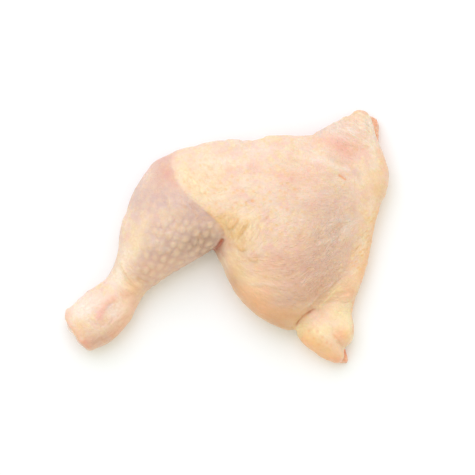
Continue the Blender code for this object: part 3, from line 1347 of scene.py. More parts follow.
@dataclass(frozen=True)
class Layer:
    """One colour laid over the skin: its mask, its colour and how far mottling breaks it up.

    Broken is the share that fine specks take away, and uneven the share that patches take away.
    """

    tint: Tint
    colour: Colour
    broken: float = 0.0
    uneven: float = 0.0


@dataclass(frozen=True)
class SkinFinish:
    """Moist raw skin: cream, with mauve meat, yellow fat and pink showing through."""

    cream: Colour = (242, 213, 189)
    rosy: Colour = (240, 190, 176)
    butter: Colour = (250, 223, 166)
    pale: Colour = (250, 231, 208)
    # Painted shade in the net's furrows and the fine wrinkles.
    furrow: Colour = (220, 166, 124)
    pore: Colour = (240, 184, 112)
    layers: tuple[Layer, ...] = (
        Layer(Tint.MAUVE, (217, 182, 172), 0.1, 0.3),
        # Lean meat, and painted shade on the drumstick's rim and underside and in the crook.
        Layer(Tint.LEAN, (172, 135, 112), 0.2),
        Layer(Tint.ROSE, (217, 166, 147), 0.25, 0.2),
        Layer(Tint.FAT, (249, 213, 149), 0.3),
        Layer(Tint.BUTTER, (255, 233, 186), 0.2),
        # Tan, and painted shade on the lower edges and along the folds.
        Layer(Tint.TAN, (210, 150, 94), 0.1),
        # Ochre fat, and painted shade beside the folds in the crook.
        Layer(Tint.OCHRE, (236, 190, 118), 0.15),
        Layer(Tint.PEACH, (255, 190, 134), 0.15, 0.2),
        Layer(Tint.BLUSH, (234, 152, 132), 0.2),
        Layer(Tint.VEIL, (196, 168, 168), 0.3, 0.3),
        # Pale film, and painted highlights.
        Layer(Tint.PEARL, (254, 236, 222), 0.2),
        Layer(Tint.FOLLICLE, (236, 209, 177), 0.0),
        # Painted shade in the furrows and the pinched wrinkles.
        Layer(Tint.FOLD, (206, 146, 100), 0.2),
        Layer(Tint.RIM, (244, 168, 122), 0.25),
        # Painted shade, red-brown, in the deep creases.
        Layer(Tint.CREASE, (186, 84, 48), 0.0),
        Layer(Tint.SPECK, (238, 150, 84), 0.0),
        Layer(Tint.FLESH, (226, 128, 100), 0.15, 0.3),
    )
    patches: Mottle = Mottle(size=8.0, detail=3.0, low=0.38, high=0.64)
    rosy_share: float = 0.65
    curds: Mottle = Mottle(size=4.2, detail=3.0, low=0.42, high=0.7)
    butter_share: float = 0.6
    bloom: Mottle = Mottle(size=14.0, detail=2.0, low=0.42, high=0.62)
    pale_share: float = 0.32
    specks: Mottle = Mottle(size=2.4, detail=2.0, low=0.36, high=0.64)
    net: Net = Net(size=2.9, width=0.34)
    net_height: float = 0.12
    net_shades: Range = (0.04, 0.22)
    fine_net: Net = Net(size=1.2, width=0.35)
    fine_net_height: float = 0.09
    grain_height: float = 0.3
    grain_pitch: float = 1.7
    grain_stretch: float = 4.0
    grain_shade: float = 0.25
    roughness: Range = (0.38, 0.56)
    coat: Range = (0.03, 0.22)
    coat_roughness: float = 0.22
    depth: Depth = Depth(weight=0.35, reach=1.6, tinge=(1.0, 0.42, 0.24))

    def material(self, effects: Effects) -> Material:
        """Builds the finish.

        Args:
            effects: The shared node groups.

        Returns:
            The material.
        """
        made, graph, shader = fresh_material("moist_skin")
        place = graph.place()
        patches, curds, bloom, specks, net, fine_net = (
            effects.use(graph, place, numbers)
            for numbers in (self.patches, self.curds, self.bloom, self.specks, self.net, self.fine_net)
        )
        valleys = self.grain(effects, graph, place)
        colour = graph.laid(linear(self.cream), self.rosy, patches, self.rosy_share)
        colour = graph.laid(colour, self.butter, curds, self.butter_share)
        colour = graph.laid(colour, self.pale, bloom, self.pale_share)
        for layer in self.layers:
            gap = graph.maths("MULTIPLY", specks, layer.broken)
            if layer.uneven:
                gap = graph.maths("ADD", gap, graph.maths("MULTIPLY", curds, layer.uneven))
            whole = graph.maths("SUBTRACT", 1.0, gap)
            colour = graph.laid(colour, layer.colour, graph.mask(layer.tint.value), whole)
        # Painted shade in the net's furrows and the fine wrinkles.
        web = graph.maths("SUBTRACT", 1.0, net)
        colour = graph.laid(colour, self.furrow, web, graph.graded(curds, 0.0, 1.0, *self.net_shades))
        colour = graph.laid(colour, self.furrow, valleys, self.grain_shade)
        for pores in PORES:
            dashes = effects.use(graph, place, pores.dashes)
            colour = graph.laid(colour, self.pore, dashes, graph.mask(pores.mask))
        graph.feed(shader.inputs["Base Color"], colour)
        height = graph.maths("MULTIPLY", valleys, -self.grain_height)
        for lace, rise in ((net, self.net_height), (fine_net, self.fine_net_height)):
            height = graph.maths("ADD", height, graph.maths("MULTIPLY", lace, rise))
        graph.emboss(shader, height)
        graph.feed(shader.inputs["Roughness"], graph.graded(specks, 0.0, 1.0, *self.roughness))
        graph.feed(shader.inputs["Coat Weight"], graph.graded(patches, 0.0, 1.0, *self.coat))
        shader.inputs["Coat Roughness"].default_value = self.coat_roughness
        self.depth.give(shader)
        return made

    def grain(self, effects: Effects, graph: Graph, place: Socket) -> Socket:
        """Runs fine wrinkles over the skin, each way where its mask says so.

        Args:
            effects: The shared node groups.
            graph: The material's graph.
            place: The place on the part.

        Returns:
            How deep a place lies in a wrinkle, from 0 to 1.
        """
        valleys = None
        for grain in Grain:
            turn = float(np.radians(grain.value))
            lines = effects.use(graph, place, Lines(turn, self.grain_pitch, self.grain_stretch))
            deep = graph.maths("MULTIPLY", graph.maths("SUBTRACT", 1.0, lines), graph.mask(grain.mask))
            valleys = deep if valleys is None else graph.maths("ADD", valleys, deep)
        return valleys


@dataclass(frozen=True)
class MeatFinish:
    """Wet bare meat, with pale strands and films over the red."""

    red: Colour = (255, 174, 132)
    pink: Colour = (255, 190, 152)
    film: Colour = (253, 214, 188)
    dark: Colour = (214, 104, 66)
    dark_mask: str = "dark"
    patches: Mottle = Mottle(size=7.0, detail=3.0, low=0.4, high=0.6)
    films: Mottle = Mottle(size=4.0, detail=4.0, low=0.55, high=0.7)
    film_share: float = 0.4
    strands: Lines = Lines(turn=1.1, pitch=0.9, stretch=9.0)
    strand_share: float = 0.12
    strand_height: float = 0.22
    net: Net = Net(size=1.8, width=0.3)
    net_height: float = 0.08
    roughness: Range = (0.24, 0.4)
    coat: float = 0.4
    coat_roughness: float = 0.15
    depth: Depth = Depth(weight=0.4, reach=2.0, tinge=(1.0, 0.35, 0.2))

    def material(self, effects: Effects) -> Material:
        """Builds the finish.

        Args:
            effects: The shared node groups.

        Returns:
            The material.
        """
        made, graph, shader = fresh_material("wet_meat")
        place = graph.place()
        patches, films, strands, net = (
            effects.use(graph, place, numbers)
            for numbers in (self.patches, self.films, self.strands, self.net)
        )
        colour = graph.mixed(patches, linear(self.red), linear(self.pink))
        colour = graph.laid(colour, self.film, strands, self.strand_share)
        colour = graph.laid(colour, self.film, films, self.film_share)
        colour = graph.mixed(graph.mask(self.dark_mask), colour, linear(self.dark))
        graph.feed(shader.inputs["Base Color"], colour)
        height = graph.maths("MULTIPLY", strands, self.strand_height)
        graph.emboss(shader, graph.maths("ADD", height, graph.maths("MULTIPLY", net, self.net_height)))
        graph.feed(shader.inputs["Roughness"], graph.graded(patches, 0.0, 1.0, *self.roughness))
        shader.inputs["Coat Weight"].default_value = self.coat
        shader.inputs["Coat Roughness"].default_value = self.coat_roughness
        self.depth.give(shader)
        return made


@dataclass(frozen=True)
class CartilageFinish:
    """Wet white cartilage, a little pink where blood shows through."""

    white: Colour = (238, 214, 196)
    pink: Colour = (228, 168, 148)
    stains: Mottle = Mottle(size=3.0, detail=3.0, low=0.45, high=0.7)
    stain_share: float = 0.7
    net: Net = Net(size=1.2, width=0.3)
    net_height: float = 0.05
    roughness: Range = (0.16, 0.34)
    coat: float = 0.5
    coat_roughness: float = 0.08
    depth: Depth = Depth(weight=0.3, reach=1.5, tinge=(1.0, 0.7, 0.5))

    def material(self, effects: Effects) -> Material:
        """Builds the finish.

        Args:
            effects: The shared node groups.

        Returns:
            The material.
        """
        made, graph, shader = fresh_material("wet_cartilage")
        place = graph.place()
        stains = effects.use(graph, place, self.stains)
        net = effects.use(graph, place, self.net)
        colour = graph.laid(linear(self.white), self.pink, stains, self.stain_share)
        graph.feed(shader.inputs["Base Color"], colour)
        graph.emboss(shader, graph.maths("MULTIPLY", net, self.net_height))
        graph.feed(shader.inputs["Roughness"], graph.graded(stains, 0.0, 1.0, *self.roughness))
        shader.inputs["Coat Weight"].default_value = self.coat
        shader.inputs["Coat Roughness"].default_value = self.coat_roughness
        self.depth.give(shader)
        return made


# Outlines on the skin, in pixels.
LILAC_SKIN: Path = (
    (178, 149), (172, 157), (171, 166), (174, 173), (177.5, 181), (183, 188.5), (190, 196.5),
    (197, 203.5), (205, 209.5), (212, 215), (218.5, 221), (223, 226.5), (225.8, 232.5), (226, 240),
    (214, 254), (196, 264), (180, 272), (166, 284), (152, 294), (136, 296), (116, 290), (104, 270),
    (104, 240), (106, 210), (118, 186), (130, 168), (150, 150),
)
MAUVE_FADES: Marks = (
    Stroke(((124, 214), (128, 232), (128, 250), (118, 276)), 11.0, 1.0, fade=0.0),
    Stroke(((150, 210), (143, 228), (136, 246), (128, 266)), 7.0, 0.75, fade=0.2),
    Spot((126, 288), (16, 12), 1.0, 30),
    Spot((137, 286), (10, 8), 0.6, 30),
    Spot((150, 294), (12, 6), 0.7, -20),
    Spot((146, 168), (9, 9), 0.4),
    Spot((158, 214), (14, 5), 0.25, -20),
    Stroke(((178, 149), (172, 158), (171, 168)), 3.0, 0.4, fade=0.1),
    Stroke(((172, 168), (176, 178), (184, 190), (193, 199)), 1.8, 0.35, fade=0.1),
)
BUMPY_CALF = Area(
    (
        (146, 232), (158, 222), (176, 219), (196, 218), (210, 220), (219, 226), (222, 234), (220, 242),
        (210, 251), (185, 266), (166, 279), (150, 288), (137, 286), (131, 274), (136, 260), (142, 246),
    ),
    edge=7.0,
)
BUMPY_KNEE = Area(
    (
        (132, 190), (150, 174), (164, 178), (176, 192), (188, 206), (182, 220), (158, 226), (138, 226),
        (130, 208),
    ),
    edge=6.0,
)
BUMPY_THIGH = Area(
    (
        (178, 156), (200, 148), (235, 142), (270, 138), (310, 140), (345, 160), (360, 190), (358, 230),
        (350, 262), (335, 285), (305, 305), (275, 300), (250, 285), (232, 262), (228, 240), (212, 212),
        (190, 186),
    ),
    edge=8.0,
)
BUMPY_BACK = Area(
    (
        (330, 130), (365, 114), (374, 130), (386, 175), (384, 205), (372, 262), (356, 296), (352, 335),
        (342, 360), (318, 356), (296, 330), (308, 312), (340, 285), (356, 250), (364, 200), (350, 160),
    ),
    edge=6.0,
)
TAIL_SKIN: Path = (
    (295, 324), (304, 314), (318, 306), (334, 302), (350, 300), (355, 315), (354, 335), (346, 350),
    (341, 364), (325, 360), (306, 348), (294, 334),
)

CROOK_FOLD: Path = ((228, 212), (222, 218), (217, 219.5))
HIP_RIDGE: Path = ((300, 155.6), (328, 163), (355.6, 173.3))
THIGH_STREAK: Path = ((314, 244), (326, 241.5), (337, 238.6))
TAIL_FOLD: Path = ((314, 308), (323, 300), (332, 291), (340, 284))
TAIL_CREASE: Path = ((302, 313), (309, 307), (318, 298.5), (328, 289), (340, 279))
SHIN_EDGE: Path = ((120.6, 261), (123, 269), (127, 276))

# The cut end of the drumstick.
HOCK = Region(
    rose=(Spot((97, 342), (18, 7), 0.8, -20), Spot((115, 332), (17, 8), 0.55, -45)),
    fat=(Spot((80, 326), (7, 8), 0.5),),
    peach=(
        Stroke(((108, 341), (120, 331), (132, 312), (139, 298)), 8, 0.4, fade=0.15),
        Spot((82, 336), (4, 8), 0.12, -35), Spot((122, 312), (9, 12), 0.35, 35),
        Spot((95, 341), (9, 5), 0.22, -20),
    ),
    blush=(
        Stroke(((119, 297), (110, 302), (102, 311), (95, 322)), 5, 0.5, fade=0.15),
        Stroke(((116, 299), (109, 304), (103, 310), (97, 319)), 2.2, 0.3, fade=0.2),
        Spot((88, 345), (8, 4), 0.3, 20), Spot((69, 314), (4, 4), 0.4),
        Stroke(((108, 341), (120, 331), (130, 316), (137, 300)), 5, 0.15, fade=0.15),
        Spot((84, 341), (6, 4), 0.4), Spot((132, 305), (6, 10), 0.2, 25),
    ),
    veil=(
        Stroke(((115, 302), (110, 305.5), (105, 311)), 1.6, 0.6, fade=0.3),
        Spot((96, 342), (8, 4), 0.3, -20),
    ),
    pearl=(
        Spot((84, 309), (14, 10), 0.95, -35), Spot((117, 305), (5, 4), 0.5, -30),
        Spot((126, 307), (8, 10), 0.3, 25), Spot((94, 299), (10, 7), 0.45, -35),
        Spot((114, 312), (8, 8), 0.85, 35), Spot((81.7, 338.9), (2, 2), 0.5),
    ),
    rim=(Stroke(((65, 313), (68, 322), (75, 333), (82, 342), (92, 350)), 2, 0.35, fade=0.05),),
    relief=(
        Stroke(((118, 297), (108.5, 309), (99, 318), (94, 323)), 4.4, 1.5, fade=0.1),
        Stroke(((118, 296), (109, 301), (101, 309), (95, 320)), 3, 0.35),
        Stroke(((116, 302), (110, 305), (105.5, 309.5)), 1, -0.5, fade=0.3),
        Spot((102, 327), (12, 7), 0.4, -35), Spot((69, 311), (3, 3), 0.6),
    ),
    edge=(
        Spot((66, 309.5), (3.5, 3), 1.6), Spot((78, 298), (5, 4), 0.7, -40), Spot((86, 292), (4, 3), 0.8),
        Spot((101, 285), (6, 3), 0.4, -30), Spot((82, 341), (5, 3), 0.4, 40),
    ),
    furrows=(
        Wrinkles((113, 311), (10, 8), -35, -40, 26, 7, 0.9, 0.26, spread=30, shade=0.26, seed=14),
        Wrinkles((108, 330), (22, 10), -35, -34, 34, 10, 0.9, 0.16, spread=8, bend=2, shade=0.28, seed=15),
        Wrinkles((106, 332), (20, 9), -35, 50, 22, 6, 0.8, 0.1, spread=14, shade=0.2, seed=27),
    ),
    flows=(Flow((100, 312), 12, -35, 0.5), Flow((108, 334), 14, -33, 0.7)),
)

# The narrow place above the hock, with its creases.
ANKLE = Region(
    fat=(Stroke(((128, 254), (123, 264), (120, 275)), 3.4, 0.35), Stroke(SHIN_EDGE, 1.3, 0.6)),
    butter=(
        Spot((116, 280), (6, 11), 0.45, 20), Spot((125, 281), (8, 10), 0.5, -20),
        Spot((132, 288), (10, 7), 0.45, 30),
    ),
    tan=(
        Stroke(((123.5, 269), (127.6, 277), (135.5, 285), (144, 290.5)), 0.9, 0.3),
        Stroke(((130, 272), (138, 277.5), (146, 281.5), (153, 284)), 0.9, 0.35),
        Stroke(((118, 293), (124, 295.5), (130, 294), (135, 292)), 0.9, 0.25),
    ),
    ochre=(Spot((128, 294), (7, 4), 0.25), Stroke(SHIN_EDGE, 1, 0.3)),
    peach=(
        Spot((129, 299), (9, 12), 0.2, 25), Spot((134, 287), (10, 7), 0.45, 30),
        Spot((152, 272), (12, 8), 0.25),
    ),
    blush=(Spot((128, 294), (9, 5), 0.2, -10),),
    pearl=(Spot((115, 281), (9, 11), 0.75, 20), Stroke(((130, 246), (123, 264), (115, 282)), 5, 0.45)),
    relief=(
        Stroke(((120, 259), (123, 267), (127, 275)), 1.8, 0.5),
        Stroke(((122, 264), (127.6, 277), (135.5, 285), (144, 290.5)), 1.9, 0.5, fade=0.1),
        Stroke(((131, 272), (138, 277.5), (146, 281.5), (153, 284)), 1.3, -0.5),
        Stroke(((121, 287), (128, 285), (135, 287)), 1.3, -0.3),
        Stroke(((119, 295), (126, 295), (134, 291)), 2.4, 0.3), Spot((134, 287), (8, 5), 0.5, 40),
    ),
    furrows=(
        Wrinkles((137, 282), (14, 8), 36, 36, 14, 16, 1.1, 0.22, spread=10, bend=3, shade=0.18, seed=13),
        Wrinkles((127, 289), (9, 6), 30, 30, 9, 12, 0.9, 0.2, spread=16, bend=2, shade=0.15, seed=31),
    ),
    flows=(Flow((135, 283), 12, 36, 0.8), Flow((112, 285), 12, 70, 0.4)),
)

# The drumstick's bumpy lilac flesh.
CALF = Region(
    mauve=(Area(LILAC_SKIN, edge=1.5, weight=0.92, ragged=2.2),),
    # The lean strokes along the rim and underside, and the tan stroke along the bottom edge, are painted
    # shade.
    lean=(
        Spot((208, 238), (18, 12), 0.75, -25), Spot((190, 244), (22, 12), 0.6, -25),
        Spot((164, 254), (16, 15), 0.42), Spot((150, 272), (12, 7), 0.1),
        Spot((184, 218), (18, 9), 0.24, 30), Spot((205, 220), (14, 7), 0.22, 40),
        Stroke(((202, 210), (212, 218.5), (219.5, 226), (222.5, 233), (220, 241)), 3, 0.5),
        Stroke(((196, 256), (205, 252), (214, 248)), 2.6, 0.4),
    ),
    rose=(Spot((152, 266), (18, 12), 0.4, -25),),
    fat=(Spot((142, 240), (7, 12), 0.25, 15), Spot((170, 214), (12, 4), 0.25, -25)),
    butter=(Stroke(((140, 226), (136, 244), (127, 264)), 6, 0.3),),
    tan=(Stroke(((146, 294), (168, 279), (196, 264), (213, 254)), 4.5, 0.45, fade=0.1),),
    peach=(Spot((172, 262), (12, 6), 0.2, -25),),
    veil=(
        Spot((192, 211), (15, 7), 0.45, 40), Spot((165, 202), (7, 10), 0.3, 20),
        Spot((147, 232), (5, 10), 0.25, 20), Spot((152, 200), (4, 9), 0.25, 15),
        Spot((134, 206), (7, 16), 0.3, 20),
    ),
    pearl=(Spot((155, 243), (6, 6), 0.3), Spot((164, 248), (4, 4), 0.25)),
    speck=(Spot((216, 203), (2, 2), 0.3),),
    furrows=(
        Wrinkles((195, 212), (15, 8), 36, 34, 20, 11, 1, 0.14, spread=8, shade=0.25, seed=17),
        Wrinkles((150, 245), (14, 30), 20, 108, 8, 24, 2, 0.16, spread=8, shade=0.12, seed=18),
    ),
    flows=(
        Flow((195, 210), 12, 34, 0.5), Flow((185, 240), 24, -25, 0.15), Flow((136, 225), 12, 100, 0.3),
    ),
)

# The knee's upper corner.
KNEE = Region(
    rose=(Spot((160, 178), (14, 18), 0.4, 20),),
    blush=(
        Spot((167, 173), (8, 9), 0.4), Spot((175, 184), (4, 8), 0.3, -35),
        Spot((165, 158), (12, 4), 0.25, -20),
    ),
    pearl=(Spot((144, 176), (10, 10), 0.25, -45),),
    edge=(Stroke(((154, 160), (143, 174), (134, 190), (128, 203), (121, 224)), 5, -1.1, fade=0.2),),
    flows=(Flow((150, 195), 24, -50, 0.25),),
)

# The yellow skin of the thigh beside the knee.
KNEE_FAT = Region(
    fat=(Spot((189, 184), (9, 16), 0.3, -35), Spot((215, 186), (24, 10), 0.2, 45)),
    butter=(
        Stroke(((180, 164), (186, 175), (193, 185), (201, 194), (210, 202)), 6, 0.3, fade=0.1),
        Spot((204, 178), (24, 20), 0.4),
    ),
    blush=(Spot((230, 170), (4, 3), 0.35),),
    pearl=(Spot((225, 160), (26, 8), 0.35),),
    speck=(Spot((236, 202.5), (2.4, 1.8), 0.3),),
    relief=(Stroke(((174, 166), (180, 178), (188, 190), (200, 202)), 3, 0.3, fade=0.1),),
    edge=(
        Stroke(((224, 141), (234, 141.5), (243, 141)), 4, 1.1, fade=0.25),
        Stroke(((170, 153), (182, 149.5), (198, 145)), 4, 0.6, fade=0.25),
    ),
    furrows=(Wrinkles((207, 180), (20, 22), -40, 50, 14, 11, 1.5, 0.14, spread=30, shade=0.2, seed=19),),
    flows=(Flow((225, 165), 20, -10, 0.35), Flow((205, 185), 14, 45, 0.35)),
)

# The folds where the drumstick meets the thigh.
CROOK = Region(
    # The lean, tan and ochre marks here are mostly painted shade in and beside the folds, and the crease
    # is painted shadow.
    lean=(Spot((219, 253), (5, 8), 0.62, 10), Spot((229, 246), (8, 5), 0.2, -20)),
    fat=(
        Stroke(((225, 238), (225, 231), (219, 222), (210, 214), (199, 205)), 0.8, 0.6, fade=0.2, skew=8),
        Spot((228, 219), (12, 9), 0.65, -30), Spot((238, 230), (10, 8), 0.7, -50),
        Spot((234, 238), (7, 7), 0.5), Spot((242, 244), (6, 8), 0.6), Spot((247, 230), (10, 13), 0.5),
    ),
    butter=(
        Spot((252, 219), (10, 10), 0.35, -30), Spot((252, 234), (9, 12), 0.4, 5),
        Spot((236, 254), (10, 6), 0.4),
    ),
    tan=(
        Stroke(
            ((239.5, 218.4), (236.3, 223.7), (231.6, 228.4), (226.3, 229.5)), 1, 0.7, fade=0.25, skew=1.5,
        ),
        Stroke(
            ((250, 221), (245.3, 228), (242, 233.2), (239, 237.4), (237.6, 241)), 1, 0.75, fade=0.3,
            skew=1.5,
        ),
        Stroke(((247, 246), (245.4, 249.4), (241.6, 250.8), (238.4, 248)), 0.9, 0.55, fade=0.2),
        Stroke(((234.6, 241), (232, 236), (230.6, 230.5)), 0.9, 0.45, fade=0.3),
        Stroke(((206, 211), (213, 217), (219.5, 223), (223, 228), (225, 234)), 0.9, 0.35, fade=0.2),
        Stroke(((227, 214), (222, 218), (217, 219.5)), 1, 0.4, fade=0.3, skew=1.5),
        Stroke(((259, 256), (256.8, 260), (252.6, 261), (246.3, 257.4)), 1, 0.45, fade=0.3, skew=1.5),
        Spot((230, 245), (7, 4), 0.3, 20), Spot((240, 247), (7, 6), 0.25),
        Stroke(((221, 219), (213, 215.5), (206, 210)), 2, 0.3, fade=0.2),
    ),
    ochre=(
        Stroke(((225, 236), (224.5, 229), (219, 222), (213, 216)), 0.7, 0.3, fade=0.3, skew=5),
        Spot((226, 222), (8, 5), 0.3, -20), Spot((239, 231), (7, 4), 0.3, -58),
        Stroke(
            ((241, 215), (239.5, 218.4), (236.3, 223.7), (231.6, 228.4), (226.3, 229.5)), 0.8, 0.5,
            fade=0.2, skew=7,
        ),
        Stroke(
            ((252, 218), (245.3, 228), (242, 233.2), (239, 237.4), (237, 242)), 0.8, 0.6, fade=0.2, skew=7,
        ),
        Stroke(((233.7, 241), (231.6, 235.3), (231, 230)), 1.2, 0.4, fade=0.3),
        Stroke(((246.3, 248), (242, 250.2), (238.4, 247.4), (238, 243)), 1, 0.6, fade=0.25, skew=3),
        Stroke(CROOK_FOLD, 0.9, 0.5, fade=0.3, skew=4), Spot((253, 259), (6, 3), 0.3, 10),
    ),
    blush=(Spot((254, 255), (4.5, 3.5), 0.35),),
    veil=(Spot((223, 254), (3.5, 5), 0.35),),
    crease=(
        Stroke(((211, 253.5), (216, 248.5), (220, 243.5), (223, 238)), 1.5, 0.85, fade=0.12),
        Spot((220.4, 243), (3, 1.3), 0.8, -58),
        Stroke(((214, 253), (219, 249), (223, 244)), 2.4, 0.2, fade=0.3),
    ),
    relief=(
        Stroke(((212, 252), (216, 248.5), (220, 244), (223.5, 238)), 1.7, -1, fade=0.15),
        Stroke(
            ((225.5, 234), (224.5, 229), (219.9, 221.9), (210, 213.2), (199, 203.5)), 2.2, 0.65, fade=0.2,
        ),
        Stroke(((221, 240), (222, 233), (216.5, 225), (206, 215)), 3, 0.5, fade=0.3),
        Stroke(CROOK_FOLD, 1.2, 0.35, fade=0.3, skew=5),
        Stroke(
            ((242, 214), (239.5, 218.4), (236.3, 223.7), (231.6, 228.4), (226.3, 229.5)), 1.2, 0.7,
            fade=0.25, skew=5,
        ),
        Stroke(
            ((252, 219), (245.3, 228), (242, 233.2), (239, 237.4), (236.5, 242)), 1.2, 0.6, fade=0.3,
            skew=4.5,
        ),
        Stroke(
            ((247, 246), (246.3, 248), (242, 250.5), (238.4, 247.4), (238, 243)), 1.2, 0.7, fade=0.25,
            skew=4,
        ),
        Stroke(((227, 249), (232, 246), (238, 248)), 2.4, -0.2, fade=0.3),
        Stroke(((259, 257), (256.8, 260.5), (252.6, 261), (246.3, 257.4)), 1.4, 0.45, fade=0.3, skew=4),
        Spot((257.5, 254), (3, 2.5), 0.3),
    ),
    furrows=(
        Wrinkles((251, 234), (10, 13), 10, 88, 20, 15, 1.1, 0.3, spread=7, shade=0.16, seed=10),
        Wrinkles((234, 222), (10, 6), -45, -50, 14, 12, 1, 0.3, spread=6, bend=2, shade=0.12, seed=28),
        Wrinkles((222, 210), (14, 7), 40, -52, 16, 9, 1, 0.24, spread=8, shade=0.12, seed=29),
        Wrinkles((236, 234), (8, 7), 0, -64, 12, 12, 0.9, 0.26, spread=7, shade=0.14, seed=30),
        Wrinkles((229, 257), (10, 13), 50, 42, 12, 15, 1.4, 0.16, spread=14, shade=0.2, seed=12),
    ),
    flows=(
        Flow((231, 221), 9, -48, 1), Flow((239, 231), 9, -60, 1), Flow((251, 237), 12, -84, 0.9),
        Flow((232, 262), 12, 42, 0.8),
    ),
)

# The broad middle of the thigh.
THIGH = Region(
    rose=(
        Spot((304, 270), (38, 24), 0.85, -15), Spot((330, 244), (24, 22), 0.4, -20),
        Spot((322, 288), (26, 11), 0.55, -30), Spot((318, 206), (18, 12), 0.35),
        Spot((284, 264), (22, 13), 0.5), Spot((310, 240), (20, 12), 0.3),
        Spot((331, 197), (24, 15), 0.36), Spot((350, 203), (9, 12), 0.4),
        Spot((312, 282), (20, 9), 0.45, -20),
    ),
    fat=(Stroke(((252, 138), (268, 137), (286, 139)), 3, 0.5),),
    blush=(
        Spot((300, 178), (20, 12), 0.3), Spot((316, 203), (12, 5), 0.35, -10),
        Spot((285, 178), (12, 8), 0.2), Spot((312, 226), (5, 4), 0.25),
    ),
    veil=(
        Spot((328, 214), (16, 10), 0.3), Spot((330, 232), (20, 14), 0.45, -25),
        Spot((344, 222), (7, 14), 0.35, 35), Spot((332, 196), (22, 14), 0.2),
        Spot((275, 205), (26, 16), 0.14), Spot((300, 217), (14, 12), 0.14),
        Spot((322, 260), (20, 10), 0.3, -25), Spot((240, 147), (14, 5), 0.2),
        Spot((258, 186), (5, 4), 0.12),
    ),
    pearl=(
        Spot((345, 205), (8, 12), 0.2, 20), Spot((350, 228), (5, 12), 0.2, 35),
        Stroke(THIGH_STREAK, 2.2, 0.35), Stroke(((352, 222), (346, 232), (337, 243)), 2.2, 0.35),
        Spot((342, 228), (13, 13), 0.22), Spot((320, 198), (17, 12), 0.28),
        Stroke(((299, 284.6), (312, 276), (328, 270)), 2.6, 0.22),
        Stroke(((318, 231), (328, 227), (336, 221)), 2, 0.3),
        Stroke(((330, 256), (337, 248), (343, 240)), 2.4, 0.25), Spot((262, 150), (22, 7), 0.35),
    ),
    speck=(Spot((252.6, 200.6), (1.9, 1.6), 0.5), Spot((296, 189), (3, 1.4), 0.3, -20)),
    relief=(
        Stroke(((240, 212), (250, 202), (262, 190)), 2.2, -0.3), Stroke(THIGH_STREAK, 2, 0.35),
        Stroke(((345.7, 233), (343, 238), (337, 243)), 1.8, 0.35),
    ),
    edge=(Stroke(((248, 139.5), (258, 137), (267, 135.5)), 4, -0.8, fade=0.25),),
    furrows=(
        Wrinkles((280, 190), (48, 32), 0, -18, 26, 12, 1.4, 0.1, spread=40, shade=0.12, seed=4),
        Wrinkles((330, 230), (24, 20), -20, -18, 12, 26, 1.9, 0.2, spread=10, bend=3, shade=0.14, seed=5),
        Wrinkles((344, 236), (8, 16), 25, -48, 6, 22, 1.8, 0.18, spread=8, bend=4, shade=0.14, seed=6),
        Wrinkles((304, 258), (34, 16), -12, -14, 22, 15, 1.4, 0.14, spread=14, bend=3, shade=0.18, seed=7),
    ),
    flows=(
        Flow((300, 168), 24, 17, 0.5), Flow((262, 160), 24, 5, 0.35), Flow((245, 195), 22, -30, 0.35),
        Flow((285, 205), 24, -15, 0.55), Flow((325, 195), 20, 5, 0.65), Flow((325, 230), 16, -22, 1.2),
        Flow((347, 238), 12, -58, 1.2), Flow((300, 245), 20, -18, 1), Flow((262, 235), 16, -50, 0.8),
        Flow((318, 280), 16, -32, 1.1),
    ),
)

# The thigh's lower edge, from the crook to the tail.
THIGH_EDGE = Region(
    lean=(Spot((286, 304), (18, 7), 0.22, -5),),
    rose=(Spot((296, 289), (19, 8), 0.6),),
    fat=(Spot((236, 266), (10, 14), 0.45, -25), Spot((270, 279), (14, 7), 0.3, 15)),
    butter=(Spot((250, 279), (14, 5), 0.5, 10),),
    # The tan band along the lower edge is partly painted shade.
    tan=(
        Stroke(((224, 264), (229, 276), (239, 292), (256, 309), (274, 320), (298, 327)), 8, 0.7, fade=0.2),
        Spot((284, 315), (24, 9), 0.6, 6), Spot((266, 302), (16, 9), 0.3, 25),
        Stroke(((268, 322), (283, 327), (297, 330)), 2.5, 0.6, fade=0.15),
        Spot((295, 303), (24, 12), 0.42, -15),
    ),
    ochre=(Spot((239, 272), (8, 12), 0.25, -25),),
    peach=(
        Stroke(((238, 278), (248, 292), (261, 305), (276, 314)), 13, 0.5, fade=0.3),
        Spot((260, 295), (20, 12), 0.35, 30), Spot((276, 310), (22, 9), 0.25, 15),
        Spot((268, 268), (14, 8), 0.25, -20),
    ),
    blush=(Spot((262, 268), (9, 5), 0.15),),
    veil=(Spot((286, 300), (20, 7), 0.45, -12),),
    pearl=(Stroke(((244, 285), (262, 283.5), (282, 286)), 1.6, 0.35),),
    relief=(
        Spot((264, 266), (5, 4), 0.35),
        Stroke(((246, 284), (262, 283.5), (280, 286), (300, 290)), 2.2, 0.4),
        Stroke(((246, 288), (262, 288), (280, 291), (300, 295)), 2.4, -0.35),
    ),
    furrows=(
        Wrinkles((282, 293), (36, 9), 4, 8, 9, 34, 1.8, 0.16, spread=6, bend=14, shade=0.16, seed=8),
    ),
    flows=(Flow((270, 272), 18, 15, 0.9), Flow((258, 300), 16, 30, 0.6), Flow((288, 306), 16, 8, 0.8)),
)

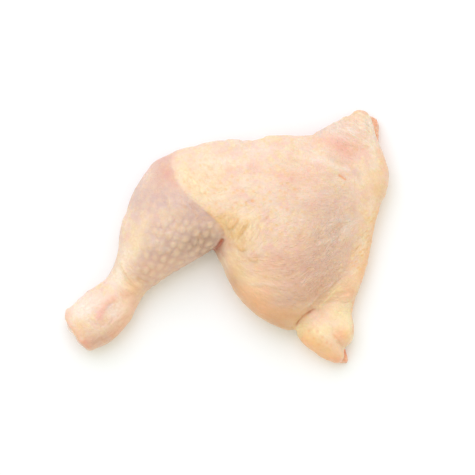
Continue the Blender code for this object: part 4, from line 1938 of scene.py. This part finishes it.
# The pink corner at the upper right, and the ridge that leads to it.
HIP = Region(
    fat=(Spot((366, 172), (10, 16), 0.2),),
    butter=(Spot((356, 116), (9, 5), 0.5), Spot((365, 119), (6, 6), 0.4)),
    peach=(
        Stroke(((376, 145), (382, 158), (386, 174)), 5, 0.3, fade=0.2), Spot((352, 118), (9, 4), 0.3, 10),
    ),
    blush=(
        Spot((342, 146), (20, 11), 0.66, 15), Spot((347, 160), (9, 10), 0.42),
        Spot((322, 140), (14, 5), 0.2, -8),
    ),
    veil=(
        Spot((328, 131), (13, 4), 0.6, -20), Spot((336, 161), (8, 5), 0.36, 20),
        Spot((356, 173), (8, 4), 0.4, 20),
    ),
    # The pale spots at the corner are partly painted light, where it slopes away from the lamp.
    pearl=(
        Spot((350, 128), (22, 12), 0.65, 25),
        Stroke(((367, 115), (371, 125), (375, 138)), 2.6, 0.6, fade=0.1),
        Spot((365, 120), (8, 9), 0.3, -20), Spot((345, 160), (26, 12), 0.25, 20),
        Spot((330, 131), (12, 4), 0.4, -18), Spot((372, 148), (6, 16), 0.4), Stroke(HIP_RIDGE, 2.8, 0.5),
    ),
    rim=(
        Stroke(((377, 142), (384, 160), (388, 178), (386, 195)), 3.5, 0.2, fade=0.15),
        Stroke(((352, 112), (361, 109.5), (371, 115)), 2.2, 0.25),
    ),
    speck=(
        Stroke(((338, 174), (342, 177), (346.5, 180.5)), 1, 0.75, fade=0.15),
        Spot((357.5, 150), (1.4, 1.1), 0.3), Spot((363, 149), (1.5, 1.1), 0.3),
        Spot((368, 146.5), (1.3, 1), 0.25),
    ),
    relief=(Stroke(HIP_RIDGE, 3.4, 0.45), Spot((345, 146), (12, 8), -0.3)),
    edge=(
        Spot((350, 115), (5, 4), -1.5),
        Stroke(((312, 134), (320, 130.5), (330, 125), (338, 120)), 4, 1.2, fade=0.2),
    ),
    furrows=(
        Wrinkles((350, 128), (20, 11), 25, 34, 26, 16, 1, 0.14, spread=7, bend=2, shade=0.16, seed=1),
        Wrinkles((320, 163), (34, 12), 18, 16, 12, 26, 1.5, 0.14, spread=8, bend=4, shade=0.14, seed=3),
    ),
    flows=(Flow((350, 128), 16, 32, 0.9), Flow((322, 150), 18, 15, 0.5), Flow((372, 180), 18, 60, 0.35)),
)

# The flap of back along the right side.
BACK = Region(
    fat=(Spot((366, 238), (10, 40), 0.18, 10), Spot((376, 185), (9, 16), 0.35)),
    butter=(
        Spot((356, 281), (6, 9), 0.4, 20),
        Stroke(((378, 205), (370, 235), (364, 258), (358, 280)), 7, 0.45, fade=0.12),
    ),
    tan=(Spot((378, 192), (8, 13), 0.2),),
    ochre=(Spot((378, 192), (6, 10), 0.4, 10),),
    peach=(
        Stroke(((383, 201), (374, 232), (368, 255), (360, 287)), 5, 0.55, fade=0.12),
        Spot((361, 274), (5, 13), 0.35, 15),
    ),
    pearl=(Spot((372, 200), (6, 10), 0.2, 10),),
    rim=(
        Stroke(((382, 203), (375, 232), (370, 255), (364, 273), (359, 289)), 2.6, 0.12, fade=0.12),
        Spot((362, 272), (5, 12), 0.15, 15),
    ),
    edge=(
        Stroke(
            ((387, 195), (381, 207), (377, 222), (373, 240), (368, 262), (362, 287), (354, 308)), 5, -1.2,
            fade=0.1,
        ),
    ),
    flows=(Flow((362, 240), 16, -28, 0.7),),
)

# The tail, the crease above it and the folds at its root.
TAIL = Region(
    fat=(
        Area(TAIL_SKIN, edge=4, weight=0.2), Spot((307, 337), (15, 11), 0.9, 35),
        Spot((345, 337), (5, 8), 0.4),
    ),
    # Besides the yellow fat, the butter marks beside the crease and along the folds are painted light that
    # lifts their hollows.
    butter=(
        Spot((340, 313), (14, 9), 0.95), Spot((320, 330), (14, 9), 0.75, 20),
        Spot((349, 328), (5, 12), 0.7), Spot((350, 313), (6, 8), 0.6), Spot((304, 326), (8, 8), 0.6),
        Spot((306, 322), (10, 7), 0.85, -40),
        Stroke(((316, 309), (323, 302.5), (332, 293.5), (341, 286)), 3.2, 0.8, fade=0.15),
        Spot((303, 333), (8, 11), 0.4, -35), Spot((337, 290), (14, 5), 0.8, -38),
        Spot((352, 285), (9, 7), 0.45, -20),
    ),
    # The tan strokes along the bottom and in the crease are painted shade.
    tan=(
        Stroke(TAIL_CREASE, 1.1, 0.42), Stroke(TAIL_FOLD, 0.9, 0.15, fade=0.3),
        Spot((296, 320), (12, 5), 0.35, -30),
        Stroke(((298, 338), (308, 350), (322, 358.5), (338, 363)), 5, 0.75, fade=0.08),
        Stroke(((331, 332), (336, 337.5), (340, 342.5), (345, 347)), 1.2, 0.5, fade=0.25, skew=1.5),
    ),
    ochre=(
        Spot((313, 339), (14, 7), 0.3, 35), Spot((320, 347), (13, 5), 0.5, 32),
        Spot((304, 336), (7, 9), 0.3, -30),
    ),
    peach=(
        Stroke(((300, 337), (311, 347), (324, 355), (341, 361)), 6, 0.85, fade=0.06),
        Spot((346, 337), (4, 7), 0.5, 10), Spot((328, 349), (15, 7), 0.5, 25),
        Spot((340, 334), (6, 7), 0.55, -30), Spot((347, 296), (13, 5), 0.45, -12),
        Spot((338, 292), (12, 4), 0.2, -42), Spot((352, 286), (9, 7), 0.25, -20),
    ),
    blush=(
        Spot((317, 315), (12, 7), 0.2, -25), Spot((312, 320), (10, 5), 0.12, -20),
        Spot((341, 340), (5, 7), 0.3, -40), Spot((338, 360), (8, 3), 0.4, 10),
    ),
    pearl=(
        Spot((314, 318), (9, 6), 0.35, -25),
        Stroke(((304, 310), (313, 301.5), (323, 292.5), (334, 281)), 1.2, 0.35),
    ),
    rim=(
        Spot((352, 292), (7, 6), 0.3, -30),
        Stroke(((356, 297), (353, 312), (354.5, 325), (351, 338)), 2.6, 0.5, fade=0.15),
        Stroke(((333, 361), (341, 362), (344, 357)), 2, 0.5), Spot((338, 335), (6, 6), 0.3),
    ),
    crease=(
        Stroke(((294.5, 327), (297.5, 322), (302, 317), (308, 312.6), (317, 306)), 0.9, 0.4, fade=0.2),
        Spot((297.5, 322.5), (3.8, 1.3), 0.6, -56), Spot((309, 312), (3.6, 1.1), 0.6, -34),
    ),
    speck=(
        Spot((309.5, 331), (1.2, 1.5), 0.4), Spot((318, 331.6), (1.1, 1.4), 0.4),
        Spot((314.2, 338), (1.1, 1.4), 0.35), Spot((322.2, 337), (1.1, 1.5), 0.4),
        Spot((326.8, 342), (1.1, 1.6), 0.45), Spot((319, 344), (1.1, 1.4), 0.35),
        Spot((331, 344.4), (1.1, 1.5), 0.4), Spot((299.4, 335), (1.1, 1.4), 0.3),
    ),
    relief=(
        Stroke(((295, 327), (302, 317), (309, 312), (316, 307)), 1.1, -0.5),
        Stroke(((312, 310.5), (320, 304), (331, 290.6)), 3, 1.4, fade=0.2),
        Stroke(((302, 325), (309, 318.5), (320, 310.5)), 4.5, 1.2, fade=0.15),
        Stroke(((306, 311), (318, 299.4), (329, 287.4), (340.5, 277.6)), 2.4, 0.4, fade=0.2),
        Stroke(TAIL_FOLD, 1, -0.2, fade=0.3), Spot((335, 291), (8, 4), 0.6, -45),
        Stroke(TAIL_CREASE, 1, -0.3),
        Stroke(((318, 305.5), (330, 302.5), (342, 302), (354, 303)), 1.8, -0.45),
        Stroke(((326, 297), (340, 294), (355, 292)), 1.8, -0.35), Spot((337, 337), (5, 3.5), 1.1, 45),
        Stroke(((335, 337.5), (339.5, 342), (344, 347)), 1.8, 0.6, fade=0.2),
        Spot((318, 334), (17, 12), 1.1, 25), Spot((347, 331), (5, 11), 0.8, -10),
        Spot((333, 350), (10, 6), 0.5, 30),
    ),
    furrows=(
        Wrinkles((322, 291), (22, 7), -42, -43, 12, 30, 1.2, 0.22, spread=4, shade=0.14, seed=9),
        Wrinkles((338, 297), (20, 6), -8, -10, 10, 24, 1.3, 0.16, spread=6, bend=4, shade=0.25, seed=16),
        Wrinkles((340, 288), (18, 5), -25, -32, 10, 22, 1.2, 0.16, spread=5, bend=2, shade=0.25, seed=26),
    ),
    flows=(Flow((340, 298), 12, -12, 0.9), Flow((320, 330), 20, 25, 0.25)),
)

REGIONS: tuple[Region, ...] = (
    HOCK, ANKLE, CALF, KNEE, KNEE_FAT, CROOK, THIGH, THIGH_EDGE, HIP, BACK, TAIL,
)


def gathered(kind: str) -> list:
    """Collects what all regions hold under one name, such as a tint's marks or the furrows."""
    return [mark for region in REGIONS for mark in getattr(region, kind, ())]


@dataclass
class SkinCover:
    """The skin from the hock to the tail, with its bumps, folds and colours.

    Sizes are in millimetres. Flesh and saddle are the distances from the joint end over which the
    raw ring and the pale saddle fade, and off table the heights over which the relief sets in. Top
    and painted are ranges of the facing and of the calf's bumps over which the paint sets in.
    """

    name: str = "skin_cover"
    voxel: float = 0.68
    thinned: float = 0.68
    smoothing: int = 8
    lumps: float = 0.5
    lump_size: float = 9.0
    lump_seed: int = 5
    crinkle: float = 0.1
    crinkle_size: float = 3.2
    crinkle_shift: float = 400.0
    pinch: float = 0.3
    pinch_size: float = 2.6
    pinch_stretch: float = 4.0
    pinch_shade: float = 0.55
    pinch_shift: float = 50.0
    pinch_seed: int = 13
    flesh: Range = (1.5, 3.0)
    saddle: Range = (0.6, 1.5)
    top: Range = (-0.1, 0.35)
    off_table: Range = (0.2, 3.0)
    painted: Range = (0.05, 0.85)
    # Painted highlight on the furrows' lips, and the darkest painted shade in the folds.
    lip_shine: float = 1.3
    darkest_fold: float = 0.8
    finish: SkinFinish = field(default_factory=SkinFinish)
    calf: Follicles = Follicles(
        BUMPY_CALF, row_step=(8.2, 1.5), next_row=(-4.5, 7.4), jitter=1.0, length=4.8, width=3.6,
        height=1.0, lean_over=(-0.35, 1.0), seed=11, unevenness=0.5, shade=0.6,
    )
    knee: Follicles = Follicles(
        BUMPY_KNEE, row_step=(9.5, 2.0), next_row=(-4.5, 9.0), jitter=1.6, length=4.4, width=3.0,
        height=0.5, lean_over=(-0.3, 1.0), seed=53, unevenness=0.8, shade=0.6,
    )
    thigh: Follicles = Follicles(
        BUMPY_THIGH, row_step=(7.6, 1.0), next_row=(-3.2, 6.4), jitter=1.2, length=2.8, width=2.6,
        height=0.2, lean_over=(0.4, 1.0), seed=23, unevenness=0.8, shade=0.2,
    )
    back: Follicles = Follicles(
        BUMPY_BACK, row_step=(7.8, -1.2), next_row=(1.8, 5.6), jitter=1.0, length=2.4, width=1.5,
        height=0.14, lean_over=(1.0, 0.0), seed=37, unevenness=0.8,
    )

    def build(self, effects: Effects) -> bpy.types.Object:
        """Shapes the skin and dresses it.

        Args:
            effects: The shared node groups.

        Returns:
            The piece.
        """
        surface = Surface(Node.SKIN, self.name, self.voxel, self.thinned)
        surface.relax(self.smoothing)
        seen = PLAN.over(surface.points)
        facing = surface.normals()[:, 2]
        on_top = ease(facing, *self.top)
        masks = self.colours(surface.points, seen)
        shares = grains(gathered("flows"), seen)
        relief = self.folds(surface.points, seen, shares, masks) * on_top
        masks[Tint.FOLD] *= on_top
        relief += sum(mark.cover(seen) for mark in gathered("edge"))
        relief += self.bumps(surface, seen, facing, masks)
        noise = Noise(self.lump_seed)
        relief += self.lumps * noise.layered(surface.points, self.lump_size)
        moved = surface.points + self.crinkle_shift
        relief += self.crinkle * noise.layered(moved, self.crinkle_size, 2)
        surface.push(relief * ease(surface.points[:, 2], *self.off_table))
        for tint, values in masks.items():
            surface.store(tint.value, values)
        for grain, strength in shares.items():
            surface.store(grain.mask, strength * on_top)
        for pores in PORES:
            surface.store(pores.mask, blended(pores.places, seen) * on_top)
        return surface.piece(Node.SKIN, Slot.SKIN, self.finish.material(effects))

    def colours(self, points: Array, seen: Array) -> Masks:
        """Lays out the colours over the skin, and the raw ring and pale saddle round the joint end.

        Args:
            points: The points of the skin in millimetres.
            seen: The pixels over them.

        Returns:
            How strong each tint is at each point, from 0 to 1.
        """
        masks = {tint: blended(gathered(tint.value), seen) for tint in Tint}
        masks[Tint.MAUVE] *= 1.0 - blended(MAUVE_FADES, seen)
        over_joint = self.over_joint(points)
        saddle = 1.0 - ease(over_joint, *self.saddle)
        masks[Tint.FLESH] = (1.0 - ease(over_joint, *self.flesh)) * (1.0 - saddle)
        masks[Tint.PEARL] = np.maximum(masks[Tint.PEARL], saddle)
        return masks

    def folds(self, points: Array, seen: Array, shares: Shares, masks: Masks) -> Array:
        """Draws creases, furrows and pinches, and shades them in the masks.

        Args:
            points: The points of the skin in millimetres.
            seen: The pixels over them.
            shares: How strongly the grain runs each way at each point.
            masks: The tints, of which the painted fold shade and the painted lip highlights are changed.

        Returns:
            The height at each point in millimetres.
        """
        relief = sum(mark.cover(seen) for mark in gathered("relief"))
        shades = np.zeros(len(seen))
        lip_highlights = np.zeros(len(seen))
        for bundle in gathered("furrows"):
            valley = bundle.furrows(seen)
            relief -= bundle.depth * valley
            shades += bundle.shade * np.clip(valley, 0.0, 1.0)
            # Painted highlight on the furrows' lips.
            lip_highlights += self.lip_shine * bundle.shade * np.clip(-valley, 0.0, 1.0)
        pinched = self.pinches(points, shares)
        relief += self.pinch * pinched
        shades += self.pinch_shade * np.clip(-pinched, 0.0, 1.0)
        masks[Tint.FOLD] = np.clip(shades, 0.0, self.darkest_fold)
        masks[Tint.PEARL] = np.clip(masks[Tint.PEARL] + lip_highlights, 0.0, 1.0)
        return relief

    def bumps(self, surface: Surface, seen: Array, facing: Array, masks: Masks) -> Array:
        """Raises the feather bumps and paints them in the masks.

        Args:
            surface: The skin.
            seen: The pixels over its points.
            facing: How far each point faces up.
            masks: The tints, of which that of the bumps is set.

        Returns:
            The height at each point in millimetres.
        """
        calf, knee, thigh, back = (
            rows.bumps(surface, seen, facing) for rows in (self.calf, self.knee, self.thigh, self.back)
        )
        paint = self.calf.shade * ease(calf, *self.painted)
        paint += self.knee.shade * knee + self.thigh.shade * thigh
        masks[Tint.FOLLICLE] = np.clip(paint, 0.0, 1.0)
        raised = self.calf.height * calf + self.knee.height * knee
        return raised + self.thigh.height * thigh + self.back.height * back

    def over_joint(self, points: Array) -> Array:
        """Measures how far points lie from the joint end, round which the cut hock is raw.

        Args:
            points: The points of the skin in millimetres.

        Returns:
            Each point's distance from the joint end in millimetres, or a large one far from it.
        """
        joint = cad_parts[Node.JOINT.value].data
        corners = [np.array(corner.co) / MM for corner in joint.vertices]
        tree = BVHTree.FromPolygons(corners, [tuple(face.vertices) for face in joint.polygons])
        reach = 2 * self.flesh[1]
        low, high = np.min(corners, axis=0) - reach, np.max(corners, axis=0) + reach
        apart = np.full(len(points), reach)
        for index in np.flatnonzero(np.all((points > low) & (points < high), axis=1)):
            *_, apart[index] = tree.find_nearest(points[index])
        return apart

    def pinches(self, points: Array, shares: Shares) -> Array:
        """Draws the skin together in soft ridges that run the way of its grain.

        Args:
            points: The points of the skin in millimetres.
            shares: How strongly the grain runs each way at each point.

        Returns:
            The height of the ridges, from about -1 to 1.
        """
        noise = Noise(self.pinch_seed)
        total = np.zeros(len(points))
        for grain, strength in shares.items():
            turn = np.radians(grain.value)
            along = points[:, 0] * np.cos(turn) - points[:, 1] * np.sin(turn)
            across = points[:, 0] * np.sin(turn) + points[:, 1] * np.cos(turn)
            drawn = np.stack((along / self.pinch_stretch, across, points[:, 2]), axis=1)
            moved = drawn + self.pinch_shift * grain.value
            total += strength * noise.layered(moved, self.pinch_size, 2)
        return total


DARK_MEAT: Marks = (
    Stroke(((346, 349), (344.5, 354), (342, 361)), 1.4, 0.55, fade=0.1),
    Stroke(((369, 115), (373, 125), (376, 140)), 1.2, 0.15, fade=0.1),
)


@dataclass
class BareMeat:
    """The cut meat that shows along the back, under the skin's edge."""

    name: str = "cut_meat"
    voxel: float = 0.7
    smoothing: int = 4
    swell: float = 0.3
    lumps: float = 0.4
    lump_size: float = 7.0
    strand: float = 0.1
    strand_size: float = 1.6
    strand_run: tuple[float, float, float] = (1.0, 0.2, 1.0)
    off_table: Range = (0.2, 2.0)
    seed: int = 7
    finish: MeatFinish = field(default_factory=MeatFinish)

    def build(self, effects: Effects) -> bpy.types.Object:
        """Shapes the meat and dresses it.

        Args:
            effects: The shared node groups.

        Returns:
            The piece.
        """
        surface = Surface(Node.MEAT, self.name, self.voxel)
        surface.relax(self.smoothing)
        noise = Noise(self.seed)
        stretched = surface.points * np.array(self.strand_run)
        relief = self.swell + self.lumps * noise.layered(surface.points, self.lump_size)
        relief += self.strand * noise.layered(stretched, self.strand_size, 2)
        surface.push(relief * ease(surface.points[:, 2], *self.off_table))
        surface.store(self.finish.dark_mask, blended(DARK_MEAT, PLAN.over(surface.points)))
        return surface.piece(Node.MEAT, Slot.MEAT, self.finish.material(effects))


@dataclass
class HockJoint:
    """The end of the leg bone, in its cartilage, in the cut hock."""

    name: str = "joint_end"
    voxel: float = 0.35
    smoothing: int = 6
    swell: float = 0.5
    lumps: float = 0.25
    lump_size: float = 3.0
    seed: int = 9
    finish: CartilageFinish = field(default_factory=CartilageFinish)

    def build(self, effects: Effects) -> bpy.types.Object:
        """Shapes the joint end and dresses it.

        Args:
            effects: The shared node groups.

        Returns:
            The piece.
        """
        surface = Surface(Node.JOINT, self.name, self.voxel)
        surface.relax(self.smoothing)
        lumps = Noise(self.seed).layered(surface.points, self.lump_size)
        surface.push(self.swell + self.lumps * lumps)
        return surface.piece(Node.JOINT, Slot.CARTILAGE, self.finish.material(effects))


@dataclass(frozen=True)
class FloorFinish:
    """A plain white matt table."""

    white: float = 0.97
    roughness: float = 0.9
    gloss: float = 0.1

    def material(self) -> Material:
        """Builds the finish.

        Returns:
            The material.
        """
        made, _, shader = fresh_material("white_table")
        shader.inputs["Base Color"].default_value = (self.white, self.white, self.white, 1.0)
        shader.inputs["Roughness"].default_value = self.roughness
        shader.inputs["Specular IOR Level"].default_value = self.gloss
        return made


@dataclass
class Studio:
    """The white table, the soft light and the camera that looks straight down."""

    sensor: float = 36.0
    floor_size: float = 4.0
    floor_gap: float = 0.3
    far: float = 20.0
    sky: float = 0.9
    sky_tint: Colour = (0.965, 1.0, 0.88)
    backdrop: Colour = (0.94, 0.93, 0.9)
    key_power: float = 13.0
    key_tint: Colour = (0.652, 0.666, 0.936)
    key_size: float = 1.4
    key_at: tuple[float, float, float] = (-0.27, 0.76, 1.33)

    def build(self) -> None:
        """Sets up the whole studio."""
        self.floor()
        self.light()
        self.camera()

    def floor(self) -> None:
        """Lays the table under the part."""
        half = self.floor_size / 2
        below = -self.floor_gap * MM
        corners = [(-half, -half, below), (half, -half, below), (half, half, below), (-half, half, below)]
        mesh = bpy.data.meshes.new("table")
        mesh.from_pydata(corners, [], [(0, 1, 2, 3)])
        mesh.materials.append(FloorFinish().material())
        table = added("table", mesh)

    def light(self) -> None:
        """Sets the soft light all round and the large lamp at the upper left."""
        world = bpy.data.worlds.new("white_room")
        world.use_nodes = True
        room = world.node_tree.nodes["Background"]
        room.inputs["Color"].default_value = (*self.sky_tint, 1.0)
        room.inputs["Strength"].default_value = self.sky
        graph = Graph(world.node_tree)
        seen = graph.node("ShaderNodeBackground", inputs={"Color": (*self.backdrop, 1.0)})
        rays = graph.node("ShaderNodeLightPath")
        either = graph.node("ShaderNodeMixShader", inputs={0: rays.outputs["Is Camera Ray"]})
        graph.feed(either.inputs[1], room.outputs[0])
        graph.feed(either.inputs[2], seen.outputs[0])
        graph.feed(world.node_tree.nodes["World Output"].inputs["Surface"], either.outputs[0])
        bpy.context.scene.world = world
        lamp = bpy.data.lights.new("key", "AREA")
        lamp.shape = "SQUARE"
        lamp.size = self.key_size
        lamp.energy = self.key_power
        lamp.color = self.key_tint
        shown = added("key", lamp)
        shown.location = self.key_at
        shown.rotation_euler = (-Vector(self.key_at)).to_track_quat("-Z", "Y").to_euler()
        shown.visible_camera = False

    def camera(self) -> None:
        """Hangs the camera so that a pixel of the picture is a pixel of the plan."""
        scene = bpy.context.scene
        scene.view_settings.view_transform = "Standard"
        middle = PLAN.under(np.array([(PHOTO_SIDE / 2, PHOTO_SIDE / 2)]))[0] * MM
        lens = bpy.data.cameras.new("camera")
        lens.lens = self.sensor * PLAN.throw
        lens.sensor_width = self.sensor
        lens.clip_end = self.far
        shown = added("camera", lens)
        shown.location = (middle[0], middle[1], (PLAN.distance + PLAN.level) * MM)
        scene.camera = shown


def main() -> None:
    """Builds the studio and the three pieces in order."""
    logging.basicConfig(level=logging.INFO, format="%(name)s: %(message)s")
    Studio().build()
    effects = Effects()
    for part in (SkinCover(), BareMeat(), HockJoint()):
        piece = part.build(effects)
        LOG.info("built %s", piece.name)


if __name__ == "__main__":
    main()
